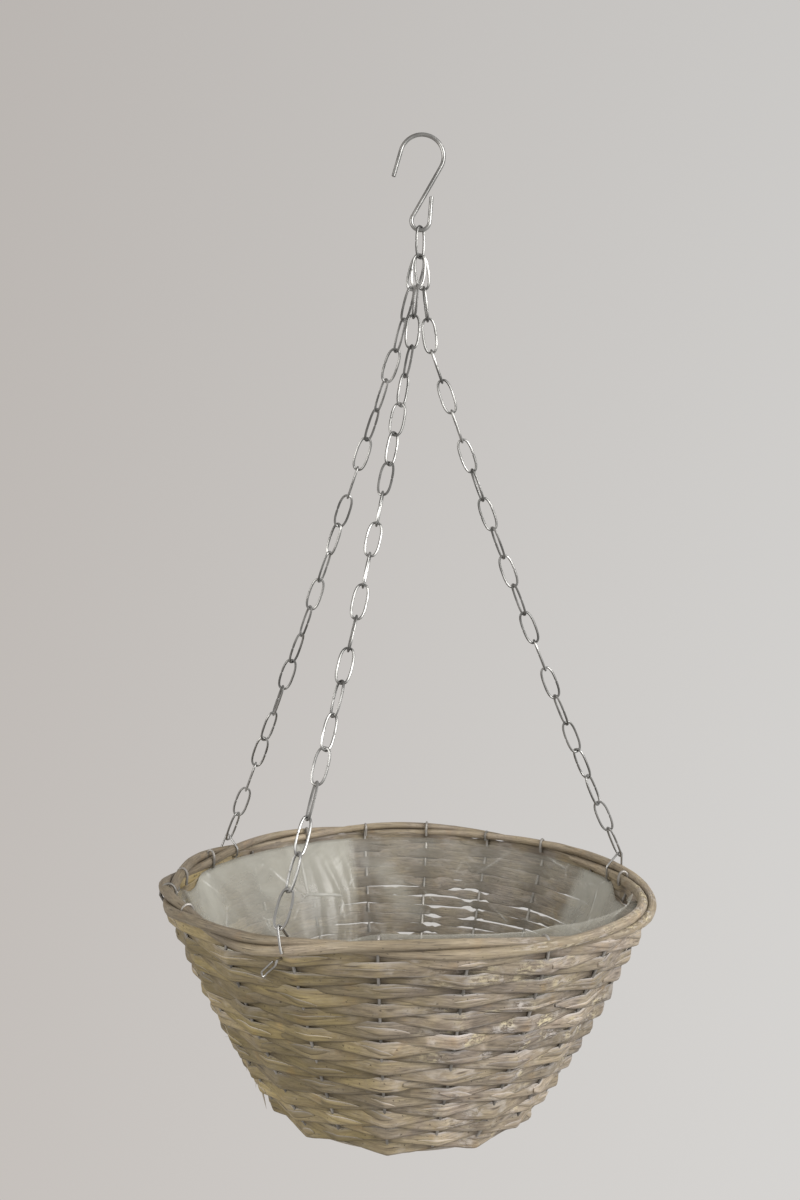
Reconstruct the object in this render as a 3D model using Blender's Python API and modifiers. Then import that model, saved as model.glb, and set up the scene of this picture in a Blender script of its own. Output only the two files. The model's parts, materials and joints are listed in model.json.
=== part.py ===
"""Hanging split-willow basket on three link chains.

The basket hangs from an S hook: one top link in the hook carries three chains of oval steel links, and
each chain holds the rim by a wrapped wire hanger. Split-willow strips are woven round wire stakes, which
hook over a rim of two twisted rods. The origin is the point of the hook that rests on its support.
Units are metres and +Z is up.
"""

import math

import bmesh
import bpy
from mathutils import Matrix, Vector

# Clearance between pieces that touch
FIT_GAP = 0.0003

# Points of a mesh closer than this are one point
MERGE_DISTANCE = 0.000005

# Faces that meet at more than this stay sharp
SHARP_EDGE_DEG = 50

# S hook, bent from round wire
HOOK_WIRE_RADIUS = 0.0015
HOOK_UPPER_BEND_RADIUS = 0.0155
HOOK_LOWER_BEND_RADIUS = 0.0065
HOOK_BEND_SPACING = 0.0457
HOOK_FLARE_LENGTH = 0.0193
HOOK_FLARE_START_DEG = 165
HOOK_END_LENGTH = 0.0175
HOOK_END_LEAN_DEG = 3

# Chain links, bent from round wire into long ovals
LINK_WIRE_RADIUS = 0.0009
LINK_LENGTH = 0.02578
LINK_WIDTH = 0.011
LINK_BEND_RISE = 0.004
LINK_FLAT_SHARE = 0.5
LINKS_PER_GROUP = 3
GROUPS_PER_CHAIN = 7
WELD_OVERLAP_SHARE = 0.35
TOP_LINK_LENGTH = 0.0244
TOP_LINK_CORNER = 0.002

# The first links crowd in the top link and hang steeper: their lean as a share of the others' lean
FIRST_LEAN_SHARE = {"a": 0.73, "b": 0.4, "c": 0.37}

# Lean that the sag adds from the second link group to the last
CHAIN_SAG_DEG = {"a": 2.5, "b": 8, "c": 4}
LEAN_HALVINGS = 60

# Turn of each link about its chain, from facing the front, as the chains hang in the photograph
LINK_TURNS_DEG = {
    "a": (0, 125, 245, 360, 425, 482, 545, 630, 710, 768, 830,
          905, 968, 1025, 1082, 1160, 1220, 1275, 1350, 1440, 1560),
    "b": (0, 75, 170, 245, 305, 365, 490, 560, 630, 720, 810,
          900, 980, 1080, 1135, 1215, 1270, 1330, 1390, 1495, 1640),
    "c": (0, 85, 180, 270, 365, 450, 542, 618, 722, 792, 900,
          970, 1082, 1170, 1260, 1330, 1420, 1485, 1563, 1635, 1690),
}

# Direction of each chain's foot round the rim, from the front (-Y) towards +X
CHAIN_AZIMUTH_DEG = {"a": -124.5, "b": -26.5, "c": 109.3}

# Last bars of the chains, outwards from the rim's middle circle and up from its middle plane
CHAIN_FOOT_OUTSET = 0.0066
CHAIN_FOOT_LIFT = 0.0044

# Order of the three first links along the top link's lower bar, from the front
CHAIN_ORDER = {"b": -1, "c": 0, "a": 1}

# Rim of two rods, twisted half a turn between stakes
RIM_OUTER_RADIUS = 0.175
RIM_ROD_RADIUS = 0.0036
ROD_POINTS_PER_BAY = 3

# Wire stakes, hooked over the rim and run under the floor to a centre ring
STAKE_WIRE_RADIUS = 0.001
STAKE_COUNT = 20
FIRST_STAKE_DEG = 12
STAKE_TAIL_LENGTH = 0.005
STAKE_HOOK_STEP_DEG = 45
FRAME_RING_RADIUS = 0.016
FRAME_RING_POINTS = 20

# Wall and base
BASKET_DEPTH = 0.156
BASE_STAKE_RADIUS = 0.092
BASE_THICKNESS = 0.0045
BASE_OVERHANG = 0.0045
BASE_EDGE_CHAMFER = 0.0012

# How far the wall bulges from a straight line, at shares of the way down from the rim to the foot
SHOULDER_SHARE = 0.085
SHOULDER_BULGE = 0.0062
BELLY_SHARE = 0.45
BELLY_BULGE = 0.0124
SKIRT_SHARE = 0.86
SKIRT_BULGE = 0.0088

# Woven strips
ROW_COUNT = 21
STRIP_THICKNESS = 0.0015
ROW_SLIT = 0.0035

# Polythene liner
LINER_THICKNESS = 0.0006
LINER_CLEARANCE = 0.0012
LINER_TOP_DROP = 0.0024
TURNED_STEPS = 36

# Wire hangers that tie the chains to the rim
HANGER_WIRE_RADIUS = 0.0008
HANGER_TAIL_LENGTH = 0.016
HANGER_STRAND_OFFSET = 0.0024
HANGER_PLAY = 0.0006

# Round wires: sides are 4 + 2 * resolution
FINE_WIRE_SIDES = 1
LINK_WIRE_SIDES = 0
STAKE_WIRE_SIDES = 0
HOOK_WIRE_SIDES = 2
ARC_STEP_DEG = 18

# Levels below the hanging point
HOOK_TOP_LEVEL = HOOK_WIRE_RADIUS
HOOK_UPPER_CENTRE_LEVEL = HOOK_TOP_LEVEL - HOOK_UPPER_BEND_RADIUS
HOOK_LOWER_CENTRE_LEVEL = HOOK_UPPER_CENTRE_LEVEL - HOOK_BEND_SPACING
HOOK_BAR_LEVEL = HOOK_LOWER_CENTRE_LEVEL - HOOK_LOWER_BEND_RADIUS
TOP_LINK_BAR_LEVEL = HOOK_BAR_LEVEL + HOOK_WIRE_RADIUS + FIT_GAP + LINK_WIRE_RADIUS
APEX_LEVEL = TOP_LINK_BAR_LEVEL - (TOP_LINK_LENGTH - 2 * LINK_WIRE_RADIUS)

# Distances between the bar centres of interlocked links
FREE_CONTACT = 2 * LINK_WIRE_RADIUS + FIT_GAP
WELD_CONTACT = 2 * LINK_WIRE_RADIUS * (1 - WELD_OVERLAP_SHARE)
LINK_BAR_SPACING = LINK_LENGTH - 2 * LINK_WIRE_RADIUS
LINK_STEP = LINK_BAR_SPACING - WELD_CONTACT
GROUP_LENGTH = LINK_BAR_SPACING + (LINKS_PER_GROUP - 1) * LINK_STEP
GROUP_STEP = GROUP_LENGTH - FREE_CONTACT

# Rim section: the rods stand side by side at a stake and one above the other between stakes
BAY_DEG = 360 / STAKE_COUNT
ROD_SPREAD = RIM_ROD_RADIUS + FIT_GAP + STAKE_WIRE_RADIUS
ROD_LIFT = (RIM_ROD_RADIUS + FIT_GAP / 2) / math.sin(math.pi / ROD_POINTS_PER_BAY)
RIM_PAIR_RADIUS = RIM_OUTER_RADIUS - ROD_SPREAD - RIM_ROD_RADIUS
RIM_HALF_HEIGHT = ROD_LIFT + RIM_ROD_RADIUS

# Stake line from the rim to the foot, in the basket's own frame with the rim's middle plane at zero
FOOT_LEVEL = BASE_THICKNESS - BASKET_DEPTH + FIT_GAP + STAKE_WIRE_RADIUS
WALL_LENGTH = math.hypot(RIM_PAIR_RADIUS - BASE_STAKE_RADIUS, FOOT_LEVEL)
WALL_SLOPE = math.atan2(RIM_PAIR_RADIUS - BASE_STAKE_RADIUS, -FOOT_LEVEL)

# Share of the way down, and bulge there, from the rim to the foot
WALL_BULGES = (
    (0, 0),
    (SHOULDER_SHARE, SHOULDER_BULGE),
    (BELLY_SHARE, BELLY_BULGE),
    (SKIRT_SHARE, SKIRT_BULGE),
    (1, 0),
)

# Row spacing along the wall, from under the hangers to the foot wires
HANGER_PASSAGE = 2 * HANGER_WIRE_RADIUS + 3 * FIT_GAP
ROWS_TOP = (RIM_HALF_HEIGHT + HANGER_PASSAGE) / math.cos(WALL_SLOPE)
ROWS_FOOT_CLEARANCE = (STAKE_WIRE_RADIUS + FIT_GAP + STRIP_THICKNESS) / math.cos(WALL_SLOPE)
ROWS_SPAN = WALL_LENGTH - ROWS_FOOT_CLEARANCE - ROWS_TOP
ROW_PITCH = (ROWS_SPAN + ROW_SLIT / 2 + FIT_GAP) / (ROW_COUNT + 1 / 2)
STRIP_HEIGHT = 2 * ROW_PITCH - ROW_SLIT
STRIP_NECK_HEIGHT = ROW_PITCH - 2 * FIT_GAP

# Strip surfaces from the stake line
STRIP_INNER_OFFSET = STAKE_WIRE_RADIUS + FIT_GAP
STRIP_OUTER_OFFSET = STRIP_INNER_OFFSET + STRIP_THICKNESS


def clear_scene():
    """Remove every object of the open scene."""
    for item in list(bpy.data.objects):
        bpy.data.objects.remove(item, do_unlink=True)


def new_collection(name):
    """Add a collection under the scene's own."""
    collection = bpy.data.collections.new(name)
    bpy.context.scene.collection.children.link(collection)
    return collection


def new_material(name, colour, roughness, metallic):
    """Make a Principled material with one plain colour."""
    material = bpy.data.materials.new(name)
    material.use_nodes = True
    shader = material.node_tree.nodes["Principled BSDF"]
    shader.inputs["Base Color"].default_value = (*colour, 1)
    shader.inputs["Roughness"].default_value = roughness
    shader.inputs["Metallic"].default_value = metallic
    return material


def place_under(piece, parent, matrix):
    """Parent a piece to an axis empty and give it its world matrix."""
    if parent is not None:
        piece.parent = parent
        piece.matrix_parent_inverse = parent.matrix_world.inverted()
    piece.matrix_world = matrix


def new_axis(name, collection, location, parent=None):
    """Add an empty that stands on a joint's axis."""
    axis = bpy.data.objects.new(name, None)
    axis.empty_display_size = LINK_LENGTH
    collection.objects.link(axis)
    place_under(axis, parent, Matrix.Translation(location))
    bpy.context.view_layer.update()
    return axis


def new_wire(name, points, radius, resolution, closed, collection):
    """Make a round wire along points: a poly curve with a bevel and filled caps."""
    curve = bpy.data.curves.new(name, "CURVE")
    curve.dimensions = "3D"
    curve.bevel_depth = radius
    curve.bevel_resolution = resolution
    curve.use_fill_caps = not closed
    spline = curve.splines.new("POLY")
    spline.points.add(len(points) - 1)
    for point, place in zip(spline.points, points):
        point.co = (*place, 1)
    spline.use_cyclic_u = closed
    wire = bpy.data.objects.new(name, curve)
    collection.objects.link(wire)
    return wire


def wire_to_mesh(wire, collection):
    """Turn a wire curve into a mesh object with welded caps, and remove the curve."""
    bpy.context.view_layer.update()
    evaluated = wire.evaluated_get(bpy.context.evaluated_depsgraph_get())
    mesh = bpy.data.meshes.new_from_object(evaluated)
    shape = bmesh.new()
    shape.from_mesh(mesh)
    bmesh.ops.remove_doubles(shape, verts=shape.verts, dist=MERGE_DISTANCE)
    bmesh.ops.recalc_face_normals(shape, faces=shape.faces)
    shape.to_mesh(mesh)
    shape.free()
    solid = bpy.data.objects.new(wire.name, mesh)
    solid.matrix_world = wire.matrix_world.copy()
    collection.objects.link(solid)
    bpy.data.objects.remove(wire, do_unlink=True)
    return solid


def weld_solids(name, solids, collection):
    """Join overlapping solids into one closed mesh with an exact union."""
    workbench = new_collection(name + "_workbench")
    first, others = solids[0], solids[1:]
    for solid in others:
        workbench.objects.link(solid)
        collection.objects.unlink(solid)
    union = first.modifiers.new("union", "BOOLEAN")
    union.operation = "UNION"
    union.operand_type = "COLLECTION"
    union.collection = workbench
    union.solver = "EXACT"
    bpy.context.view_layer.update()
    evaluated = first.evaluated_get(bpy.context.evaluated_depsgraph_get())
    mesh = bpy.data.meshes.new_from_object(evaluated)
    mesh.name = name
    welded = bpy.data.objects.new(name, mesh)
    collection.objects.link(welded)
    for solid in solids:
        bpy.data.objects.remove(solid, do_unlink=True)
    bpy.data.collections.remove(workbench)
    return welded


def finish_mesh(piece, material):
    """Give a mesh piece its material and smooth shading with sharp edges kept."""
    piece.data.materials.clear()
    piece.data.materials.append(material)
    piece.data.shade_smooth()
    piece.data.set_sharp_from_angle(angle=math.radians(SHARP_EDGE_DEG))


def circle_points(centre, radius, start_deg, end_deg, step_deg):
    """Points of an arc in the X-Z plane, both ends included."""
    steps = max(1, round(abs(end_deg - start_deg) / step_deg))
    points = []
    for index in range(steps + 1):
        angle = math.radians(start_deg + (end_deg - start_deg) * index / steps)
        offset = Vector((math.cos(angle), 0, math.sin(angle))) * radius
        points.append(Vector(centre) + offset)
    return points


def rim_direction(azimuth_deg):
    """Unit vector out from the basket's axis, measured from the front."""
    angle = math.radians(azimuth_deg)
    return Vector((math.sin(angle), -math.cos(angle), 0))


def rim_point(azimuth_deg, radius, level):
    """Point on a level circle round the basket's axis."""
    return rim_direction(azimuth_deg) * radius + Vector((0, 0, level))


def hook_points():
    """Wire line of the S hook: flared tip, upper bend, cross-over, lower bend and upturned end."""
    upper = Vector((0, 0, HOOK_UPPER_CENTRE_LEVEL))
    lower = Vector((0, 0, HOOK_LOWER_CENTRE_LEVEL))
    bends_share = (HOOK_UPPER_BEND_RADIUS + HOOK_LOWER_BEND_RADIUS) / HOOK_BEND_SPACING
    leave_deg = math.degrees(math.acos(bends_share)) - 90
    arrive_deg = leave_deg + 180
    flare = math.radians(HOOK_FLARE_START_DEG)
    start = upper + Vector((math.cos(flare), 0, math.sin(flare))) * HOOK_UPPER_BEND_RADIUS
    tip = start + Vector((-math.sin(flare), 0, math.cos(flare))) * HOOK_FLARE_LENGTH
    points = [tip]
    points += circle_points(upper, HOOK_UPPER_BEND_RADIUS, HOOK_FLARE_START_DEG, leave_deg, ARC_STEP_DEG)
    points += circle_points(lower, HOOK_LOWER_BEND_RADIUS, arrive_deg, 360, 2 * ARC_STEP_DEG)
    lean = math.radians(HOOK_END_LEAN_DEG)
    points.append(points[-1] + Vector((math.sin(lean), 0, math.cos(lean))) * HOOK_END_LENGTH)
    return points


def oval_points(width, bar_spacing, flat_share, rise, corner_steps):
    """Outline of one link in its own plane: lateral place and distance below the upper bar."""
    half = width / 2 - LINK_WIRE_RADIUS
    flat = half * flat_share
    corner = []
    for index in range(corner_steps + 1):
        angle = math.pi / 2 * index / corner_steps
        corner.append((flat + (half - flat) * math.sin(angle), rise * (1 - math.cos(angle))))
    upper_right = corner
    lower_right = [(lateral, bar_spacing - drop) for lateral, drop in reversed(corner)]
    right = upper_right + lower_right
    left = [(-lateral, drop) for lateral, drop in reversed(right)]
    return right + left


def link_points(turn_deg, start):
    """Wire line of a chain link in its group's frame, where -Z runs down the chain."""
    turn = math.radians(turn_deg)
    lateral = Vector((math.cos(turn), -math.sin(turn), 0))
    outline = oval_points(LINK_WIDTH, LINK_BAR_SPACING, LINK_FLAT_SHARE, LINK_BEND_RISE, 1)
    return [lateral * side - Vector((0, 0, start + drop)) for side, drop in outline]


def top_link_points():
    """Wire line of the top link, which hangs edge-on to the front across the hook."""
    half = LINK_WIDTH / 2 - LINK_WIRE_RADIUS
    flat_share = 1 - TOP_LINK_CORNER / half
    spacing = TOP_LINK_BAR_LEVEL - APEX_LEVEL
    outline = oval_points(LINK_WIDTH, spacing, flat_share, TOP_LINK_CORNER, 2)
    return [Vector((0, side, TOP_LINK_BAR_LEVEL - drop)) for side, drop in outline]


def rod_phase(azimuth_deg):
    """Twist of the rim pair: zero at a stake, half a turn at the next."""
    return math.pi * (azimuth_deg - FIRST_STAKE_DEG) / BAY_DEG


def rim_half_extents(azimuth_deg):
    """Half width and half height of the rim pair within a hanger's own width at one azimuth."""
    reach_deg = math.degrees((HANGER_STRAND_OFFSET / 2 + HANGER_WIRE_RADIUS) / RIM_PAIR_RADIUS)
    phases = [rod_phase(azimuth_deg + side * reach_deg) for side in (-1, 0, 1)]
    across = max(abs(math.cos(phase)) for phase in phases) * ROD_SPREAD + RIM_ROD_RADIUS
    upright = max(abs(math.sin(phase)) for phase in phases) * ROD_LIFT + RIM_ROD_RADIUS
    return across, upright


def rod_points(side):
    """Wire line of one rim rod, on side +1 or -1 of the pair."""
    points = []
    for index in range(STAKE_COUNT * ROD_POINTS_PER_BAY):
        azimuth = FIRST_STAKE_DEG + BAY_DEG * index / ROD_POINTS_PER_BAY
        phase = rod_phase(azimuth)
        radius = RIM_PAIR_RADIUS + side * ROD_SPREAD * math.cos(phase)
        points.append(rim_point(azimuth, radius, side * ROD_LIFT * math.sin(phase)))
    return points


def wall_bulge(share):
    """How far the wall stands out from its straight line at a share of the way down."""
    for (start, start_bulge), (end, end_bulge) in zip(WALL_BULGES, WALL_BULGES[1:]):
        if share <= end:
            return start_bulge + (end_bulge - start_bulge) * (share - start) / (end - start)
    return 0


def wall_point(distance, offset):
    """Radius and level on the wall: distance down the straight line, offset outwards from the stakes."""
    radius = RIM_PAIR_RADIUS - distance * math.sin(WALL_SLOPE) + wall_bulge(distance / WALL_LENGTH)
    level = -distance * math.cos(WALL_SLOPE)
    return radius + offset * math.cos(WALL_SLOPE), level - offset * math.sin(WALL_SLOPE)


def stake_points(azimuth_deg):
    """Wire line of one stake: tail, hook over the inner rod, wall, foot and run to the centre ring."""
    rod_centre = Vector((RIM_PAIR_RADIUS - ROD_SPREAD, 0, 0))
    bend = ROD_SPREAD + FIT_GAP / 2
    hook = circle_points(rod_centre, bend, 180, 0, STAKE_HOOK_STEP_DEG)
    tail = hook[0] - Vector((0, 0, STAKE_TAIL_LENGTH))
    profile = [tail] + hook
    for share, _ in WALL_BULGES[1:]:
        radius, level = wall_point(WALL_LENGTH * share, 0)
        profile.append(Vector((radius, 0, level)))
    profile.append(Vector((FRAME_RING_RADIUS, 0, FOOT_LEVEL)))
    return [rim_point(azimuth_deg, place.x, place.z) for place in profile]


def stake_azimuths():
    """Azimuths of the stakes."""
    return [FIRST_STAKE_DEG + BAY_DEG * index for index in range(STAKE_COUNT)]


def hanger_points(azimuth_deg, bar_level):
    """Wire line of a hanger wrapped once round the rim, with its tail hanging outside.

    The wire rises outside the rim, crosses over the chain's last bar, goes down inside the rim, passes
    out under the rods and hangs down beside its own start.
    """
    across, upright = rim_half_extents(azimuth_deg)
    inner = across + FIT_GAP + HANGER_WIRE_RADIUS
    contact = LINK_WIRE_RADIUS + HANGER_PLAY + HANGER_WIRE_RADIUS
    out = max(inner, CHAIN_FOOT_OUTSET + contact)
    corner_room = max(0, CHAIN_FOOT_OUTSET + contact * math.sqrt(2) - out)
    under = -upright - FIT_GAP - HANGER_WIRE_RADIUS
    top = max(bar_level + contact + corner_room, -under)
    cut = RIM_ROD_RADIUS / 2
    side = HANGER_STRAND_OFFSET / 2
    far = out + 2 * HANGER_WIRE_RADIUS
    tail_radius, tail_level = wall_point(ROWS_TOP + HANGER_TAIL_LENGTH, STRIP_OUTER_OFFSET)
    tail = tail_radius + FIT_GAP + HANGER_WIRE_RADIUS - RIM_PAIR_RADIUS
    route = [
        (out, -side, 0),
        (out, -side, top - cut),
        (out - cut, -side, top),
        (cut - inner, side, top),
        (-inner, side, top - cut),
        (-inner, side, under + cut),
        (cut - inner, side, under),
        (far - cut, side, under),
        (max(far, tail), side, under - cut),
        (tail, side, tail_level),
    ]
    outward = rim_direction(azimuth_deg)
    along = Vector((-outward.y, outward.x, 0))
    points = []
    for radial, tangential, level in route:
        points.append(outward * (RIM_PAIR_RADIUS + radial) + along * tangential + Vector((0, 0, level)))
    return points


def group_leans(name, reach):
    """Lean of each link group from the vertical so that a chain spans the given reach."""
    low, high = 0, math.pi / 2
    for _ in range(LEAN_HALVINGS):
        middle = (low + high) / 2
        leans = sagging_leans(name, middle)
        if chain_span(leans).x < reach:
            low = middle
        else:
            high = middle
    return sagging_leans(name, low)


def sagging_leans(name, middle_lean):
    """Leans of the groups of one chain: steeper at the top, flatter at the rim."""
    sag = math.radians(CHAIN_SAG_DEG[name])
    steps = GROUPS_PER_CHAIN - 2
    free_leans = [middle_lean + sag * (index / steps - 1 / 2) for index in range(steps + 1)]
    return [middle_lean * FIRST_LEAN_SHARE[name]] + free_leans


def chain_span(leans):
    """Reach and drop from a chain's first bar to its last bar."""
    span = Vector((0, 0))
    for index, lean in enumerate(leans):
        step = GROUP_LENGTH if index == len(leans) - 1 else GROUP_STEP
        span += Vector((math.sin(lean), math.cos(lean))) * step
    return span


def chain_layout(name):
    """Frames of the link groups of one chain, and the level of its last bar."""
    azimuth = CHAIN_AZIMUTH_DEG[name]
    start = Vector((0, CHAIN_ORDER[name] * FREE_CONTACT, APEX_LEVEL + FREE_CONTACT))
    foot = rim_direction(azimuth) * (RIM_PAIR_RADIUS + CHAIN_FOOT_OUTSET)
    run = Vector((foot.x - start.x, foot.y - start.y, 0))
    leans = group_leans(name, run.length)
    outward = run.normalized()
    frames = []
    place = start
    for lean in leans:
        down = outward * math.sin(lean) - Vector((0, 0, math.cos(lean)))
        frames.append(group_frame(place, down))
        place = place + down * GROUP_STEP
    return frames, start.z - chain_span(leans).y


def group_frame(place, down):
    """Frame of a link group: origin on its upper bar, -Z down the chain, X towards the right."""
    z_axis = -down
    y_axis = z_axis.cross(Vector((1, 0, 0))).normalized()
    x_axis = y_axis.cross(z_axis)
    frame = Matrix((x_axis, y_axis, z_axis)).transposed().to_4x4()
    frame.translation = place
    return frame


def rim_level():
    """Level of the rim's middle plane, under the lowest chain bar."""
    return min(chain_layout(name)[1] for name in CHAIN_AZIMUTH_DEG) - CHAIN_FOOT_LIFT


def make_hook(collection, material):
    """The S hook, standing still."""
    hook = new_wire("hanging_hook", hook_points(), HOOK_WIRE_RADIUS, HOOK_WIRE_SIDES, False, collection)
    hook.data.materials.append(material)


def make_top_link(collection, material, axis):
    """The link that carries the three chains."""
    link = new_wire("top_link", top_link_points(), LINK_WIRE_RADIUS, FINE_WIRE_SIDES, True, collection)
    link.data.materials.append(material)
    link.data.transform(Matrix.Translation(-axis.matrix_world.translation))
    place_under(link, axis, axis.matrix_world.copy())


def make_link_group(name, turns_deg, frame, collection, material, axis):
    """Three links that hang in each other, joined where they bear."""
    solids = []
    for index, turn in enumerate(turns_deg):
        points = link_points(turn, index * LINK_STEP)
        wire = new_wire(name + "_link", points, LINK_WIRE_RADIUS, LINK_WIRE_SIDES, True, collection)
        solids.append(wire_to_mesh(wire, collection))
    group = weld_solids(name, solids, collection)
    finish_mesh(group, material)
    place_under(group, axis, frame)


def make_chain(name, collection, material, axis):
    """All link groups of one chain, numbered from the top."""
    frames = chain_layout(name)[0]
    for index, frame in enumerate(frames):
        first = index * LINKS_PER_GROUP
        turns = LINK_TURNS_DEG[name][first:first + LINKS_PER_GROUP]
        make_link_group(f"chain_{name}_links_{index + 1}", turns, frame, collection, material, axis)


def make_hanger(name, level, collection, material, axis, basket_matrix):
    """The wrapped wire that holds the end of one chain to the rim."""
    bar_level = chain_layout(name)[1] - level
    points = hanger_points(CHAIN_AZIMUTH_DEG[name], bar_level)
    hanger = new_wire(f"hanger_wire_{name}", points, HANGER_WIRE_RADIUS, FINE_WIRE_SIDES, False, collection)
    hanger.data.materials.append(material)
    place_under(hanger, axis, basket_matrix)


def make_rim_rods(collection, material, axis, basket_matrix):
    """The two twisted rods of the rim."""
    for name, side in (("rim_rod_outer", 1), ("rim_rod_inner", -1)):
        rod = new_wire(name, rod_points(side), RIM_ROD_RADIUS, FINE_WIRE_SIDES, True, collection)
        rod.data.materials.append(material)
        place_under(rod, axis, basket_matrix)


def make_wire_frame(collection, material, axis, basket_matrix):
    """The stakes, welded to the centre ring under the floor."""
    ring_points = []
    for index in range(FRAME_RING_POINTS):
        azimuth = FIRST_STAKE_DEG + BAY_DEG / 2 + 360 * index / FRAME_RING_POINTS
        ring_points.append(rim_point(azimuth, FRAME_RING_RADIUS, FOOT_LEVEL))
    ring = new_wire("centre_ring", ring_points, STAKE_WIRE_RADIUS, STAKE_WIRE_SIDES, True, collection)
    solids = [wire_to_mesh(ring, collection)]
    for azimuth in stake_azimuths():
        points = stake_points(azimuth)
        stake = new_wire("stake", points, STAKE_WIRE_RADIUS, STAKE_WIRE_SIDES, False, collection)
        solids.append(wire_to_mesh(stake, collection))
    frame = weld_solids("wire_frame", solids, collection)
    finish_mesh(frame, material)
    place_under(frame, axis, basket_matrix)


def stake_rise(start, end):
    """Most that a stake's bends stand out from a straight strip laid over them between two distances."""
    rise = 0
    start_bulge, end_bulge = wall_bulge(start / WALL_LENGTH), wall_bulge(end / WALL_LENGTH)
    for share, bulge in WALL_BULGES:
        across = (share * WALL_LENGTH - start) / (end - start)
        if 0 < across < 1:
            rise = max(rise, bulge - start_bulge - (end_bulge - start_bulge) * across)
    return rise


def strip_section(row, station):
    """Ridge and edges of the strip at one station: even stations are stakes."""
    distance = ROWS_TOP + STRIP_NECK_HEIGHT / 2 + row * ROW_PITCH
    half = STRIP_HEIGHT / 2
    if station % 2:
        half, flat = STRIP_NECK_HEIGHT / 2, -STRIP_THICKNESS / 2
    elif (row + station // 2) % 2:
        flat = -STRIP_OUTER_OFFSET
    else:
        flat = STRIP_INNER_OFFSET + stake_rise(distance - half, distance + half)
    return (
        wall_point(distance, flat + STRIP_THICKNESS),
        wall_point(distance - half, flat),
        wall_point(distance + half, flat),
    )


def make_row(row, collection, material, axis, basket_matrix):
    """One ring of split willow, outside one stake and inside the next."""
    stations = 2 * STAKE_COUNT
    bpy.ops.mesh.primitive_torus_add(
        major_segments=stations,
        minor_segments=3,
        major_radius=BASE_STAKE_RADIUS,
        minor_radius=STRIP_THICKNESS,
    )
    strip = bpy.context.active_object
    strip.name = f"weave_row_{row + 1:02d}"
    strip.data.name = strip.name
    for owner in list(strip.users_collection):
        owner.objects.unlink(strip)
    collection.objects.link(strip)
    for station in range(stations):
        azimuth = FIRST_STAKE_DEG + BAY_DEG / 2 * station
        for corner, (radius, level) in enumerate(strip_section(row, station)):
            strip.data.vertices[3 * station + corner].co = rim_point(azimuth, radius, level)
    shape = bmesh.new()
    shape.from_mesh(strip.data)
    bmesh.ops.triangulate(shape, faces=shape.faces)
    bmesh.ops.recalc_face_normals(shape, faces=shape.faces)
    shape.to_mesh(strip.data)
    shape.free()
    finish_mesh(strip, material)
    place_under(strip, axis, basket_matrix)


def new_turned(name, profile, collection):
    """A turned shape: a profile from top to bottom on +X with a Screw modifier."""
    mesh = bpy.data.meshes.new(name)
    shape = bmesh.new()
    verts = [shape.verts.new((radius, 0, level)) for radius, level in profile]
    for upper, lower in zip(verts, verts[1:]):
        shape.edges.new((upper, lower))
    shape.to_mesh(mesh)
    shape.free()
    turned = bpy.data.objects.new(name, mesh)
    collection.objects.link(turned)
    screw = turned.modifiers.new("turn", "SCREW")
    screw.steps = TURNED_STEPS
    screw.render_steps = TURNED_STEPS
    screw.use_merge_vertices = True
    screw.merge_threshold = MERGE_DISTANCE
    return turned


def make_base(collection, material, axis, basket_matrix):
    """The flat woven base under the foot wires."""
    top = BASE_THICKNESS - BASKET_DEPTH
    radius = BASE_STAKE_RADIUS + BASE_OVERHANG
    profile = [
        (0, top),
        (radius - BASE_EDGE_CHAMFER, top),
        (radius, top - BASE_EDGE_CHAMFER),
        (radius - BASE_EDGE_CHAMFER, -BASKET_DEPTH),
        (0, -BASKET_DEPTH),
    ]
    base = new_turned("base_panel", profile, collection)
    base.data.materials.append(material)
    place_under(base, axis, basket_matrix)


def make_liner(collection, material, axis, basket_matrix):
    """The polythene liner inside the weave, standing on the foot wires."""
    floor = FOOT_LEVEL + STAKE_WIRE_RADIUS + FIT_GAP
    offset = -STRIP_OUTER_OFFSET - LINER_CLEARANCE
    top_distance = (RIM_HALF_HEIGHT + HANGER_PASSAGE + LINER_TOP_DROP) / math.cos(WALL_SLOPE)
    foot_distance = (-floor - offset * math.sin(WALL_SLOPE)) / math.cos(WALL_SLOPE)
    foot_radius, _ = wall_point(foot_distance, offset)
    profile = [
        wall_point(top_distance, offset),
        wall_point(WALL_LENGTH * BELLY_SHARE, offset),
        wall_point(WALL_LENGTH * SKIRT_SHARE, offset),
        (foot_radius, floor),
        (0, floor),
    ]
    liner = new_turned("liner", profile, collection)
    wall = liner.modifiers.new("film", "SOLIDIFY")
    wall.thickness = LINER_THICKNESS
    wall.offset = -1
    liner.data.materials.append(material)
    place_under(liner, axis, basket_matrix)


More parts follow.
